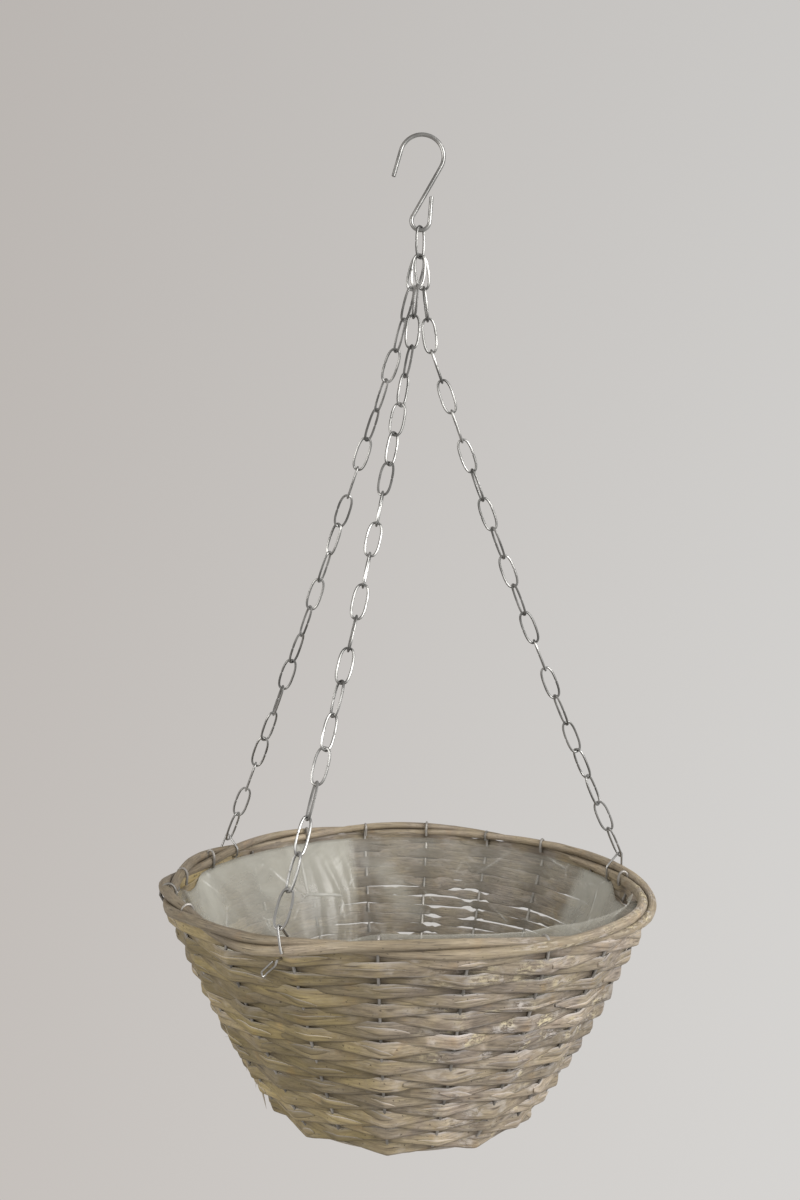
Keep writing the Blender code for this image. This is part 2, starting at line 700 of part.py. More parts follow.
def main():
    """Build the whole basket."""
    clear_scene()
    collection = new_collection("hanging_rattan_basket")
    steel = new_material("galvanised_steel", (0.42, 0.42, 0.41), 0.35, 1)
    dull_wire = new_material("stake_wire", (0.3, 0.3, 0.29), 0.45, 1)
    rod_willow = new_material("willow_rod", (0.36, 0.3, 0.2), 0.7, 0)
    strip_willow = new_material("split_willow", (0.33, 0.28, 0.19), 0.75, 0)
    base_willow = new_material("base_willow", (0.3, 0.25, 0.17), 0.8, 0)
    film = new_material("polythene", (0.8, 0.82, 0.8), 0.25, 0)
    make_hook(collection, steel)
    hook_axis = new_axis("axis_top_link_swing", collection, (0, 0, HOOK_BAR_LEVEL))
    make_top_link(collection, steel, hook_axis)
    basket_axis = new_axis("axis_basket_swing", collection, (0, 0, APEX_LEVEL), hook_axis)
    for name in CHAIN_AZIMUTH_DEG:
        make_chain(name, collection, steel, basket_axis)
    level = rim_level()
    basket_matrix = Matrix.Translation((0, 0, level))
    for name in CHAIN_AZIMUTH_DEG:
        make_hanger(name, level, collection, steel, basket_axis, basket_matrix)
    make_rim_rods(collection, rod_willow, basket_axis, basket_matrix)
    make_wire_frame(collection, dull_wire, basket_axis, basket_matrix)
    for row in range(ROW_COUNT):
        make_row(row, collection, strip_willow, basket_axis, basket_matrix)
    make_base(collection, base_willow, basket_axis, basket_matrix)
    make_liner(collection, film, basket_axis, basket_matrix)


main()
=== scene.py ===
"""Looks of the hanging split-willow basket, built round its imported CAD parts.

Everything is in metres in the CAD frame: the origin is where the S hook rests on its support, the basket's
axis is Z and its front is -Y. Azimuths run from the front towards +X.
"""

import json
import math
import random

import bmesh
import bpy
from mathutils import Matrix, Vector, noise

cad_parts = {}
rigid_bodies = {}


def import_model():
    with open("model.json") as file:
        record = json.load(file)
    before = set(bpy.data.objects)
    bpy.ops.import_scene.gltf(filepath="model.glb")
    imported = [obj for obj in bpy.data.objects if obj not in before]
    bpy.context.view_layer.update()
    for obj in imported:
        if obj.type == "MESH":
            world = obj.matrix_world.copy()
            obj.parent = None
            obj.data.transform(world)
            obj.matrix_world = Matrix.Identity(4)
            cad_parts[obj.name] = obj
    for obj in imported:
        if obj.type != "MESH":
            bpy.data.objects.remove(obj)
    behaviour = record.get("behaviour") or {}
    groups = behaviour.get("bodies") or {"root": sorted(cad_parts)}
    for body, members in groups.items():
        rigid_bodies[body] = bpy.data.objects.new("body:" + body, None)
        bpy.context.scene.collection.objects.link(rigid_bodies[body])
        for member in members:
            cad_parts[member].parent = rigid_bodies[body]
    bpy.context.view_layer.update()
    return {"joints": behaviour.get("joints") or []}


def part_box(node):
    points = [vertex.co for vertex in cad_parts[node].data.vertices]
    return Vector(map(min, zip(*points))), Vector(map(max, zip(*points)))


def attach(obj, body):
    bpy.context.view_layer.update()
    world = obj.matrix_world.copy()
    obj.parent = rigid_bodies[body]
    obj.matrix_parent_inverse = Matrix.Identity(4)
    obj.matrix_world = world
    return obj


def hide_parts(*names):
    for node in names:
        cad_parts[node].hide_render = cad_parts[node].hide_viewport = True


for leftover in list(bpy.data.objects):
    bpy.data.objects.remove(leftover)
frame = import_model()

JOINTS = {joint["name"]: joint for joint in frame["joints"]}
MERGE_DISTANCE = 0.000002
SHARP_EDGE_DEG = 42
FIT_GAP = 0.0003
WIRE_SIDES = 8
WIRE_END_SHARE = 0.75
WIRE_EASE_SHARE = 0.25
CORNER_REACH_SHARE = 0.48

# S hook
HOOK_WIRE_RADIUS = 0.0015
HOOK_UPPER_BEND_RADIUS = 0.0155
HOOK_LOWER_BEND_RADIUS = 0.0065
HOOK_BEND_SPACING = 0.0457
HOOK_FLARE_LENGTH = 0.0193
HOOK_FLARE_START_DEG = 165
HOOK_END_LENGTH = 0.0175
HOOK_END_LEAN_DEG = 3
HOOK_ARC_STEP_DEG = 6
HOOK_WIRE_SIDES = 14
HOOK_UPPER_CENTRE = HOOK_WIRE_RADIUS - HOOK_UPPER_BEND_RADIUS
HOOK_LOWER_CENTRE = HOOK_UPPER_CENTRE - HOOK_BEND_SPACING

# Chain links
LINK_WIRE_RADIUS = 0.00087
LINK_WIDTH = 0.011
LINK_ROUNDNESS = 2.7
LINKS_PER_GROUP = 3
GROUPS_PER_CHAIN = 7
LINK_CONTACT = 0.0019
LINK_BEND_STEPS = 7
LINK_GRIT_SCALE = 500
LINK_GRIT_SHARE = 0.05
SEAM_HALF_LENGTH = 0.0003
SEAM_NECK_SHARE = 0.62
TOP_LINK_TURN_DEG = 35
CHAIN_AZIMUTH_DEG = {"a": -124.5, "b": -26.5, "c": 109.3}
CHAIN_ORDER = {"b": -1, "c": 0, "a": 1}
FIRST_BAR_LIFT = 0.0021
LINK_TURNS_DEG = {
    "a": (0, 125, 245, 360, 425, 482, 545, 630, 710, 768, 830,
          905, 968, 1025, 1082, 1160, 1220, 1275, 1350, 1440, 1560),
    "b": (0, 75, 170, 245, 305, 365, 490, 560, 630, 720, 810,
          900, 980, 1080, 1135, 1215, 1270, 1330, 1390, 1495, 1640),
    "c": (0, 85, 180, 270, 365, 450, 542, 618, 722, 792, 900,
          970, 1082, 1170, 1260, 1330, 1420, 1485, 1563, 1635, 1690),
}

# Rim rods and stakes, with the rolls of the rods' twist in radians
RIM_PAIR_RADIUS = 0.1665
ROD_CIRCLE_RADIUS = 0.1695
ROD_RADIUS = 0.0032
ROD_SPREAD_SHARE = 0.97
ROD_HALF_TURNS = 8
ROD_START_ROLL = 0.67
ROD_SWAY_ROLL = 0.9
ROD_BACK_ROLL = 0.67
ROD_FRONT_ROLL = 0.4
ROD_SIDE_SWELL = 0.0004
ROD_BACK_THINNING = 0.0005
ROD_OUT_WANDER = 0.0004
ROD_LEVEL_WANDER = 0.0005
ROD_STATIONS_PER_BAY = 18
ROD_SIDES = 14
BAR_RADIUS = 0.1731
STAKE_COUNT = 20
FIRST_STAKE_DEG = 12
BAY_DEG = 360 / STAKE_COUNT
STAKE_RADIUS = 0.001
HIDDEN_HOOKS_DEG = (-132, -24, 84, 120)
FRONT_HOOKS_DEG = 70
STAKE_HOOK_STEPS = 8
STAKE_END_INSET = 0.002
STAKE_TAIL_INSET = 0.0006
STAKE_TAIL_PLAY = 0.001
STAKE_SIDE_PLAY = 0.0003
STAKE_LIFT_PLAY = 0.0008
STAKE_BED_DEPTH = 0.001
STAKE_WALL_STEPS = 14
STAKE_FOOT_BEND = 0.004
FRAME_RING_RADIUS = 0.016
FRAME_RING_POINTS = 32

# Chain hangers
HANGER_WIRE_RADIUS = 0.0008
HANGER_CLEARANCE = 0.0012
HANGER_BEND = 0.0022
HANGER_TAIL_DROP = 0.022
HANGER_TAIL_OUTSET = 0.0046
HANGER_TAIL_LEAN = -0.0137
HANGER_TAIL_WIRE_SHARE = 0.72

# Wall and base
BASKET_DEPTH = 0.156
BASE_THICKNESS = 0.0045
BASE_RADIUS = 0.0865
BASE_STAKE_RADIUS = 0.092
WALL_BULGES = (
    (0, 0.0), (0.06, 0.0068), (0.23, 0.0074), (0.43, 0.0094), (0.63, 0.0086), (0.83, 0.0061), (0.93, 0.0037),
    (1, 0.0), (1.1, -0.004),
)
RIM_SETTLE = 0.0022
RIM_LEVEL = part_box("base_panel")[0].z + BASKET_DEPTH - RIM_SETTLE
RIM_WAVE_DEPTH = 0.1
RIM_SADDLE = 0.0035
RIM_NOD = 0.0006
RIM_ROLL = 0.0001
RIM_WAVE_DROP = 0.0003
RIM_DIP = 0.0055
RIM_DIP_DEG = (-46, -22, 13)
FOOT_LEVEL = BASE_THICKNESS + FIT_GAP + STAKE_RADIUS - BASKET_DEPTH
WALL_LENGTH = math.hypot(RIM_PAIR_RADIUS - BASE_STAKE_RADIUS, FOOT_LEVEL)
WALL_SLOPE = math.atan2(RIM_PAIR_RADIUS - BASE_STAKE_RADIUS, -FOOT_LEVEL)

# Woven rows
ROW_COUNT = 21
ROWS_TOP = 0.0036
ROW_PITCH = 0.00746
STRIP_HALF_HEIGHT = 0.0046
STRIP_HALF_THICKNESS = 0.0005
STRIP_CROWN = 0.0005
STRIP_SWING = 0.0021
STRIP_TILT_DEG = 19
BEND_REACH_DEG = 0.8
STATIONS_PER_BAY = 18
STRIP_SIDES = 14
STRIP_END_DEG = 8
STRIP_END_LIFT = 0.0007
STRIP_DRIFT = 0.001
STRIP_WANDER = 0.0008
STRIP_SKEW = 0.0013
STRIP_RIB = 0.0002

# Stretches of the wall with looks of their own, with painted light on the right and painted shade on the
# left: from, to and softness of the ends
ASHEN_AND_LIT_SIDE_DEG = (-4, 112, 20)
SHADED_LEFT_SIDE_DEG = (-105, -28, 12)
FLAKY_SIDE_DEG = (6, 62, 7)
FLAKY_ROWS = (4.5, 13.5, 1.5)
CLOSE_WALL_DEG = (-168, -90, 5)

# How far round from the front the back's look starts, and where it is full; the back is greyer, thinner and
# painted darker as shade
BACK_DEG = (105, 140)

# Torn slivers on the strips
SLIVER_ODDS = 0.8
SLIVER_THICKNESS = 0.0003
SLIVER_WIDTHS = (0.0007, 0.0023)
SLIVER_CURL = 0.0009
SLIVER_TONES = (-0.55, -0.35, 0.3, 0.5, 0.65)

# Woven floor
BASE_RING_PITCH = 0.0073
BASE_BORDER_RADIUS = 0.0017
BASE_EDGE_INSET = 0.004
BASE_STRIP_HALF = (0.0041, 0.0015)
BASE_WEAVE_SWING = 0.0006
BASE_POINTS_PER_METRE = 1500

# Vertex marks that the willow finish reads
WILLOW_MARKS = ("ash", "edge", "tone", "flake", "shade")

# Colours
ZINC_PAINTED_HIGHLIGHT = (0.66, 0.66, 0.65)
PEELED_AND_LIT_EDGE = (0.6, 0.57, 0.56)
CREAM_FLAKE = (0.7, 0.61, 0.41)
GREY_FLAKE = (0.58, 0.53, 0.49)
BACKDROP_LEFT = (0.522, 0.491, 0.466)
BACKDROP_RIGHT = (0.64, 0.628, 0.612)
FILL_LIGHT = (1.0, 0.985, 0.96)

# Liner film: a top step or a flap is from, to, softness and size; a pleat is middle, sway and height
FILM_OFFSET = 0.0038
FILM_THICKNESS = 0.0002
FILM_COLUMNS = 400
FILM_ROWS = 84
FILM_FLOOR_GAP = 0.0009
FILM_TOP_LEVEL = -0.0085
FILM_TOP_WAVE = 0.0008
FILM_TOP_STEPS = (
    (30, 84, 7, 0.0135), (-12, 30, 8, 0.0125), (-84, -14, 8, 0.004),
    (92, 106, 4, -0.009), (-106, -96, 4, -0.007),
)
FILM_FLAPS = ((-162, -100, 6, 0.006), (98, 124, 5, 0.006))
FILM_WRINKLE = 0.0016
FILM_LEFT_WRINKLE = 0.0022
FILM_FLOOR_WRINKLE = 0.0008
FILM_ROD_INSET = 0.0094
FILM_PLEATS = (
    (-161, 2, 0.0026), (-155, 3, 0.003), (-148, 2, 0.0016), (-120, 4, 0.0006),
    (-169, 3, 0.0016), (178, 5, 0.0016), (158, 4, 0.0012), (128, 4, 0.0016), (109, 2, 0.002),
)


def signed_deg(azimuth_deg):
    """The same azimuth between -180 and 180."""
    return (azimuth_deg + 180) % 360 - 180


def darker(colour, share):
    """A colour at a share of its strength."""
    return tuple(share * part for part in colour)


def front_direction(azimuth_deg):
    """Unit vector out from the basket's axis."""
    angle = math.radians(azimuth_deg)
    return Vector((math.sin(angle), -math.cos(angle), 0))


def rim_wave(azimuth_deg, level=0):
    """How far the hand-made rim stands over its middle plane; the wave dies out down the wall."""
    azimuth = signed_deg(azimuth_deg)
    angle = math.radians(azimuth)
    wave = RIM_SADDLE * math.cos(2 * angle) - RIM_NOD * math.cos(angle) - RIM_ROLL * math.sin(angle)
    wave -= RIM_WAVE_DROP
    wave -= RIM_DIP * bump_over(azimuth, *RIM_DIP_DEG)
    return wave * (1 - smooth_step(0, RIM_WAVE_DEPTH, -level))


def rim_place(azimuth_deg, radius, level):
    """Point by azimuth, radius and level from the rim's middle plane."""
    height = RIM_LEVEL + level + rim_wave(azimuth_deg, level)
    return front_direction(azimuth_deg) * radius + Vector((0, 0, height))


def wall_section(distance, offset):
    """Radius and level of a point: distance down the stake line, offset outwards from it."""
    share = distance / WALL_LENGTH
    bulge = 0
    for (start, low), (end, high) in zip(WALL_BULGES, WALL_BULGES[1:]):
        if start <= share <= end:
            bulge = low + (high - low) * smooth_step(start, end, share)
    radius = RIM_PAIR_RADIUS - distance * math.sin(WALL_SLOPE) + bulge + offset * math.cos(WALL_SLOPE)
    return radius, -distance * math.cos(WALL_SLOPE) - offset * math.sin(WALL_SLOPE)


def wall_place(azimuth_deg, distance, offset):
    """Point on the wall in the CAD frame."""
    return rim_place(azimuth_deg, *wall_section(distance, offset))


def smooth_step(low, high, value):
    """Zero below low, one above high, and smooth between."""
    share = min(1, max(0, (value - low) / (high - low)))
    return share * share * (3 - 2 * share)


def bump_over(azimuth_deg, low, high, soft):
    """One between two azimuths and zero outside, with soft ends."""
    rise = smooth_step(low - soft, low + soft, azimuth_deg)
    return rise * (1 - smooth_step(high - soft, high + soft, azimuth_deg))


def new_shape(*marks):
    """A bmesh with a UV map and named vertex marks."""
    shape = bmesh.new()
    shape.loops.layers.uv.new("grain")
    for mark in marks:
        shape.verts.layers.float.new(mark)
    return shape


def sweep(shape, stations, section, sides, closed=False, marks=None):
    """Roll a grid of faces round a line of stations.

    A station is a centre and the two axes of the section there. section(index, turn) gives the place on
    those axes, with turn from 0 to 1 round the line. marks maps a vertex mark to mark(index, turn).
    """
    count = len(stations)
    columns = count if closed else count - 1
    lengths = [0]
    for index in range(columns):
        lengths.append(lengths[-1] + (stations[(index + 1) % count][0] - stations[index][0]).length)
    middle = [Vector(section(count // 2, turn / sides)) for turn in range(sides + 1)]
    girth = sum((b - a).length for a, b in zip(middle, middle[1:]))
    grain = shape.loops.layers.uv["grain"]
    layers = {name: shape.verts.layers.float[name] for name in marks or {}}
    made = bmesh.ops.create_grid(shape, x_segments=columns, y_segments=sides, size=0.5)["verts"]
    places = {}
    for vert in made:
        column = round((vert.co.x + 0.5) * columns)
        turn = round((vert.co.y + 0.5) * sides) / sides
        places[vert] = (lengths[column], turn * girth)
        index = column % count
        centre, side, up = stations[index]
        first, second = section(index, turn % 1)
        vert.co = centre + side * first + up * second
        for name, layer in layers.items():
            vert[layer] = marks[name](index, turn % 1)
    for face in {face for vert in made for face in vert.link_faces}:
        for loop in face.loops:
            loop[grain].uv = places[loop.vert]
    bmesh.ops.remove_doubles(shape, verts=made, dist=MERGE_DISTANCE)
    if not closed:
        ends = [edge for edge in shape.edges if edge.is_boundary]
        bmesh.ops.holes_fill(shape, edges=ends, sides=0)


def wire_stations(points, hints, closed=False):
    """Stations along points, with the section's first axis as near the hint as the wire allows."""
    count = len(points)
    stations = []
    for index, point in enumerate(points):
        before = points[index - 1] if closed or index else point
        after = points[(index + 1) % count] if closed or index < count - 1 else point
        along = (after - before).normalized()
        hint = hints[index] if isinstance(hints, list) else hints
        side = (hint - along * hint.dot(along)).normalized()
        stations.append((point, side, along.cross(side)))
    return stations


def add_wire(shape, points, hints, radii, sides, closed=False):
    """A round wire: radii is one radius or a list of them. Open ends are eased."""
    if not isinstance(radii, list):
        radii = [radii] * len(points)
    if not closed:
        ease = radii[0] * WIRE_EASE_SHARE
        start = points[0] + (points[1] - points[0]).normalized() * ease
        end = points[-1] + (points[-2] - points[-1]).normalized() * ease
        points = [points[0], start] + points[1:-1] + [end, points[-1]]
        tips = radii[0] * WIRE_END_SHARE, radii[-1] * WIRE_END_SHARE
        radii = [tips[0], radii[0]] + radii[1:-1] + [radii[-1], tips[1]]
        if isinstance(hints, list):
            hints = [hints[0]] + hints + [hints[-1]]

    def round_section(index, turn):
        angle = 2 * math.pi * turn
        return radii[index] * math.cos(angle), radii[index] * math.sin(angle)

    sweep(shape, wire_stations(points, hints, closed), round_section, sides, closed)


def rounded(points, radius, steps=5):
    """A line of straight runs with its corners bent to a radius."""
    bent = [points[0]]
    for before, corner, after in zip(points, points[1:], points[2:]):
        shortest = min((before - corner).length, (after - corner).length)
        reach = min(radius, shortest * CORNER_REACH_SHARE)
        start = corner + (before - corner).normalized() * reach
        end = corner + (after - corner).normalized() * reach
        for step in range(steps + 1):
            share = step / steps
            bent.append(start * (1 - share) ** 2 + corner * 2 * share * (1 - share) + end * share ** 2)
    bent.append(points[-1])
    return bent


def add_piece(name, shape, material, body, nodes=()):
    """Make an object of a finished shape, and ride it on its body."""
    bmesh.ops.recalc_face_normals(shape, faces=shape.faces)
    mesh = bpy.data.meshes.new(name)
    shape.to_mesh(mesh)
    shape.free()
    mesh.materials.append(material)
    mesh.shade_smooth()
    mesh.set_sharp_from_angle(angle=math.radians(SHARP_EDGE_DEG))
    piece = bpy.data.objects.new(name, mesh)
    bpy.context.scene.collection.objects.link(piece)
    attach(piece, body)
    if nodes:
        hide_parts(*nodes)
    return piece


class NodeTree:
    """Short calls that add and join the nodes of a tree."""

    def __init__(self, tree):
        self.tree = tree

    def node(self, kind, inputs=None, **settings):
        """Add a node, set it up and join its inputs."""
        made = self.tree.nodes.new("ShaderNode" + kind)
        for setting, value in settings.items():
            setattr(made, setting, value)
        for socket, value in (inputs or {}).items():
            self.join(made.inputs[socket], value)
        return made

    def join(self, socket, value):
        """Link an output to a socket, or set the socket's own value."""
        if isinstance(value, bpy.types.NodeSocket):
            self.tree.links.new(value, socket)
        elif isinstance(value, tuple) and len(value) == 3 and len(socket.default_value) == 4:
            socket.default_value = (*value, 1)
        else:
            socket.default_value = value

    def span(self, value, low, high, to_low=0.0, to_high=1.0):
        """A value's part between low and high, as a part between two others."""
        inputs = {"Value": value, "From Min": low, "From Max": high, "To Min": to_low, "To Max": to_high}
        return self.node("MapRange", inputs).outputs["Result"]

    def sum(self, first, second, operation="ADD"):
        """One sum of two values."""
        return self.node("Math", {0: first, 1: second}, operation=operation).outputs["Value"]

    def times(self, first, second):
        """The product of two values."""
        return self.sum(first, second, "MULTIPLY")

    def mix(self, factor, first, second, blend="MIX"):
        """A mix of two colours."""
        made = self.node("Mix", data_type="RGBA", blend_type=blend)
        self.join(made.inputs[0], factor)
        self.join(made.inputs[6], first)
        self.join(made.inputs[7], second)
        return made.outputs[2]


class Finish(NodeTree):
    """A material in the making, with its patterns and its shader."""

    def __init__(self, name):
        self.material = bpy.data.materials.new(name)
        self.material.use_nodes = True
        super().__init__(self.material.node_tree)
        self.shader = self.tree.nodes["Principled BSDF"]

    def objectspace(self):
        """Object coordinates."""
        return self.node("TexCoord").outputs["Object"]

    def grain(self):
        """The piece's own map: metres along it and round it."""
        return self.node("UVMap", uv_map="grain").outputs["UV"]

    def mark(self, name):
        """A vertex mark of the piece."""
        return self.node("Attribute", attribute_name=name).outputs["Fac"]

    def noise(self, vector, scale, detail=3.0, roughness=0.55, distortion=0.0):
        """Noise between 0 and 1."""
        inputs = {
            "Vector": vector, "Scale": scale,
            "Detail": detail, "Roughness": roughness, "Distortion": distortion,
        }
        return self.node("TexNoise", inputs).outputs["Fac"]

    def streaks(self, grain, along, across, detail=3.0, roughness=0.55, distortion=0.0):
        """Noise drawn out along the grain."""
        inputs = {"Vector": grain, "Scale": (along, across, 1.0)}
        stretched = self.node("Mapping", inputs).outputs["Vector"]
        return self.noise(stretched, 1.0, detail, roughness, distortion)

    def bump(self, height, distance, strength=1.0):
        """Bump on the shader."""
        made = self.node("Bump", {"Height": height, "Distance": distance, "Strength": strength})
        self.join(self.shader.inputs["Normal"], made.outputs["Normal"])

    def set(self, **values):
        """Set the shader's sockets by name, with _ for a space."""
        for name, value in values.items():
            self.join(self.shader.inputs[name.replace("_", " ")], value)
        return self.material


def zinc_wire(name, bright, dull, roughness, metal=1.0, painted_highlight=0.0):
    """Galvanised wire: grey metal with soft dull patches and dark specks, and a painted highlight that
    lightens it near the rim.
    """
    finish = Finish(name)
    place = finish.objectspace()
    patches = finish.span(finish.noise(place, 75.0, 2.0, 0.5), 0.38, 0.6)
    specks = finish.span(finish.noise(place, 900.0, 2.0, 0.6), 0.66, 0.76, 0.0, 0.35)
    colour = finish.mix(patches, dull, bright)
    colour = finish.mix(specks, colour, darker(dull, 0.4))
    level = finish.node("SeparateXYZ", {"Vector": place}).outputs["Z"]
    # Painted highlight: the wire is lightened by height on the low links near the rim.
    colour = finish.mix(finish.span(level, -0.52, -0.38, painted_highlight, 0.0), colour, ZINC_PAINTED_HIGHLIGHT)
    finish.bump(patches, 0.00002, 0.2)
    rough = finish.span(patches, 0.0, 1.0, roughness + 0.06, roughness)
    return finish.set(Base_Color=colour, Metallic=metal, Roughness=rough)


def willow(name, olive, ash, mauve, pale, bark, bump=0.00035):
    """Split willow: streaks and cracks along the strip, a painted pale sheen in glossier patches, specks and
    loose flakes, and painted light and shade from the edge, tone and shade marks.
    """
    finish = Finish(name)
    grain = finish.grain()
    place = finish.objectspace()
    fine = finish.streaks(grain, 85.0, 1500.0, 5.0, 0.68)
    broad = finish.streaks(grain, 26.0, 380.0, 4.0, 0.6)
    sheen = finish.streaks(grain, 48.0, 210.0, 4.0, 0.6, 0.4)
    cracks = finish.streaks(grain, 34.0, 1100.0, 2.0, 0.5)
    patch = finish.noise(place, 38.0, 3.0, 0.6, 0.5)
    warm = finish.noise(place, 75.0, 2.0, 0.5)
    ashen = finish.mark("ash")
    colour = finish.mix(ashen, olive, ash)
    mauve_share = finish.times(finish.span(patch, 0.42, 0.6), finish.span(ashen, 0.0, 1.0, 0.05, 0.9))
    colour = finish.mix(mauve_share, colour, mauve)
    golden = tuple(part * share for part, share in zip(olive, (1.3, 1.0, 0.7)))
    colour = finish.mix(finish.span(warm, 0.6, 0.75, 0.0, 0.3), colour, golden)
    colour = finish.mix(finish.span(broad, 0.4, 0.72, 0.0, 0.5), colour, bark)
    light = finish.mix(1.0, colour, (1.62, 1.6, 1.56), "MULTIPLY")
    dark = finish.mix(1.0, colour, (0.7, 0.69, 0.68), "MULTIPLY")
    streaked = finish.mix(finish.span(fine, 0.36, 0.66), dark, light)
    colour = finish.mix(finish.span(ashen, 0.0, 1.0, 0.5, 1.0), colour, streaked)
    # Painted sheen: the pale colour is laid on in glossy streaks as a highlight, most on the ashen, lit side.
    painted_sheen_share = finish.span(ashen, 0.0, 1.0, 0.08, 0.75)
    painted_sheen_share = finish.times(finish.span(sheen, 0.53, 0.68), painted_sheen_share)
    colour = finish.mix(painted_sheen_share, colour, pale)
    colour = finish.mix(finish.span(cracks, 0.64, 0.72, 0.0, 0.75), colour, darker(bark, 0.45))
    # Pale edges: the peeled edge colour, and on upper edges a painted highlight.
    colour = finish.mix(finish.times(finish.mark("edge"), 0.9), colour, PEELED_AND_LIT_EDGE)
    # The tone mark scales the colour: random tone, with painted light and shade by side.
    tone = finish.span(finish.mark("tone"), 0.0, 1.0, 0.66, 1.28)
    grey = finish.node("CombineColor", {0: tone, 1: tone, 2: tone}).outputs[0]
    colour = finish.mix(1.0, colour, grey, "MULTIPLY")
    specks = finish.span(finish.streaks(grain, 330.0, 900.0), 0.64, 0.7, 0.0, 0.8)
    colour = finish.mix(specks, colour, darker(bark, 0.35))
    crust = finish.streaks(grain, 150.0, 800.0, 5.0, 0.7)
    flaked = finish.times(finish.mark("flake"), finish.span(crust, 0.47, 0.56))
    pale_share = finish.span(finish.noise(place, 80.0, 2.0), 0.45, 0.56)
    colour = finish.mix(flaked, colour, finish.mix(pale_share, CREAM_FLAKE, GREY_FLAKE))
    flake_rim = finish.times(finish.mark("flake"), finish.span(crust, 0.42, 0.46, 0.0, 0.6))
    flake_rim = finish.times(flake_rim, finish.span(crust, 0.46, 0.5, 1.0, 0.0))
    colour = finish.mix(flake_rim, colour, darker(bark, 0.5))
    colour = finish.mix(finish.times(finish.mark("shade"), 0.85), colour, darker(bark, 0.38))
    height = finish.sum(finish.times(fine, 0.6), finish.times(broad, 0.7))
    height = finish.sum(height, finish.times(flaked, 0.9))
    height = finish.sum(height, finish.span(cracks, 0.62, 0.72, 0.0, 0.6), "SUBTRACT")
    finish.bump(height, bump, 0.9)
    rough = finish.span(sheen, 0.3, 0.7, 0.75, 0.48)
    return finish.set(Base_Color=colour, Roughness=rough)


def polythene(name, opacity):
    """Clear film: milky where it is folded, with fine creases painted whiter as highlights."""
    finish = Finish(name)
    place = finish.objectspace()
    milk = finish.mark("milk")
    crumple = finish.noise(place, 26.0, 4.0, 0.6, 1.1)
    cells = finish.node("TexVoronoi", {"Vector": place, "Scale": 21.0}, feature="DISTANCE_TO_EDGE")
    crease = finish.span(cells.outputs["Distance"], 0.0, 0.03, 1.0, 0.0)
    crease = finish.times(crease, finish.span(crumple, 0.5, 0.7))
    cloud = finish.span(crumple, 0.3, 0.7, 0.75, 1.2)
    alpha = finish.sum(finish.times(milk, cloud), finish.times(crease, 0.3))
    alpha = finish.times(alpha, opacity)
    finish.bump(finish.sum(crumple, crease), 0.0012, 0.7)
    # Creases are painted whiter and more opaque: a painted highlight along each crease.
    colour = finish.mix(crease, (0.6, 0.59, 0.525), (0.92, 0.92, 0.88))
    return finish.set(Base_Color=colour, Roughness=0.22, Alpha=alpha)


def make_hook(material):
    """The S hook, bent along the CAD hook's own line."""
    shape = new_shape()
    shares = (HOOK_UPPER_BEND_RADIUS + HOOK_LOWER_BEND_RADIUS) / HOOK_BEND_SPACING
    leave = math.degrees(math.acos(shares)) - 90

    def arc(level, radius, start, end):
        steps = round(abs(end - start) / HOOK_ARC_STEP_DEG)
        angles = [math.radians(start + (end - start) * step / steps) for step in range(steps + 1)]
        return [Vector((math.cos(angle) * radius, 0, level + math.sin(angle) * radius)) for angle in angles]

    upper = arc(HOOK_UPPER_CENTRE, HOOK_UPPER_BEND_RADIUS, HOOK_FLARE_START_DEG, leave)
    lower = arc(HOOK_LOWER_CENTRE, HOOK_LOWER_BEND_RADIUS, leave + 180, 360)
    flare = math.radians(HOOK_FLARE_START_DEG)
    tip = upper[0] + Vector((-math.sin(flare), 0, math.cos(flare))) * HOOK_FLARE_LENGTH
    lean = math.radians(HOOK_END_LEAN_DEG)
    end = lower[-1] + Vector((math.sin(lean), 0, math.cos(lean))) * HOOK_END_LENGTH
    line = [tip] + upper + lower + [end]
    add_wire(shape, line, Vector((0, 1, 0)), HOOK_WIRE_RADIUS, HOOK_WIRE_SIDES)
    add_piece("bent_hook", shape, material, "hook", ["hanging_hook"])


def link_outline(spacing, width, steps):
    """Wire line of an oval link, from its upper bar round by the right: side, drop, share of radius."""
    half = width / 2 - LINK_WIRE_RADIUS
    power = 2 / LINK_ROUNDNESS
    right = []
    for step in range(2 * steps + 1):
        angle = math.pi * step / (2 * steps)
        side = abs(math.sin(angle)) ** power
        rise = math.copysign(abs(math.cos(angle)) ** power, math.cos(angle))
        right.append((half * side, spacing / 2 * (1 - rise), 1))
    left = [(-side, drop, share) for side, drop, share in reversed(right[1:-1])]
    middle = len(left) // 2
    seam = []
    for place, share in ((2, 1), (1, SEAM_NECK_SHARE), (-1, SEAM_NECK_SHARE), (-2, 1)):
        seam.append((-half, spacing / 2 + place * SEAM_HALF_LENGTH, share))
    return right + left[:middle] + seam + left[middle + 1:]


def add_link(shape, outline, top, across, down, seed):
    """One closed link under a point, with the slight bumps of its zinc coat."""
    points, radii = [], []
    for side, drop, share in outline:
        point = top + across * side + down * drop
        grit = noise.noise(point * LINK_GRIT_SCALE + Vector((seed, 0, 0)))
        points.append(point)
        radii.append(LINK_WIRE_RADIUS * share * (1 + LINK_GRIT_SHARE * grit))
    add_wire(shape, points, across.cross(down), radii, WIRE_SIDES, closed=True)


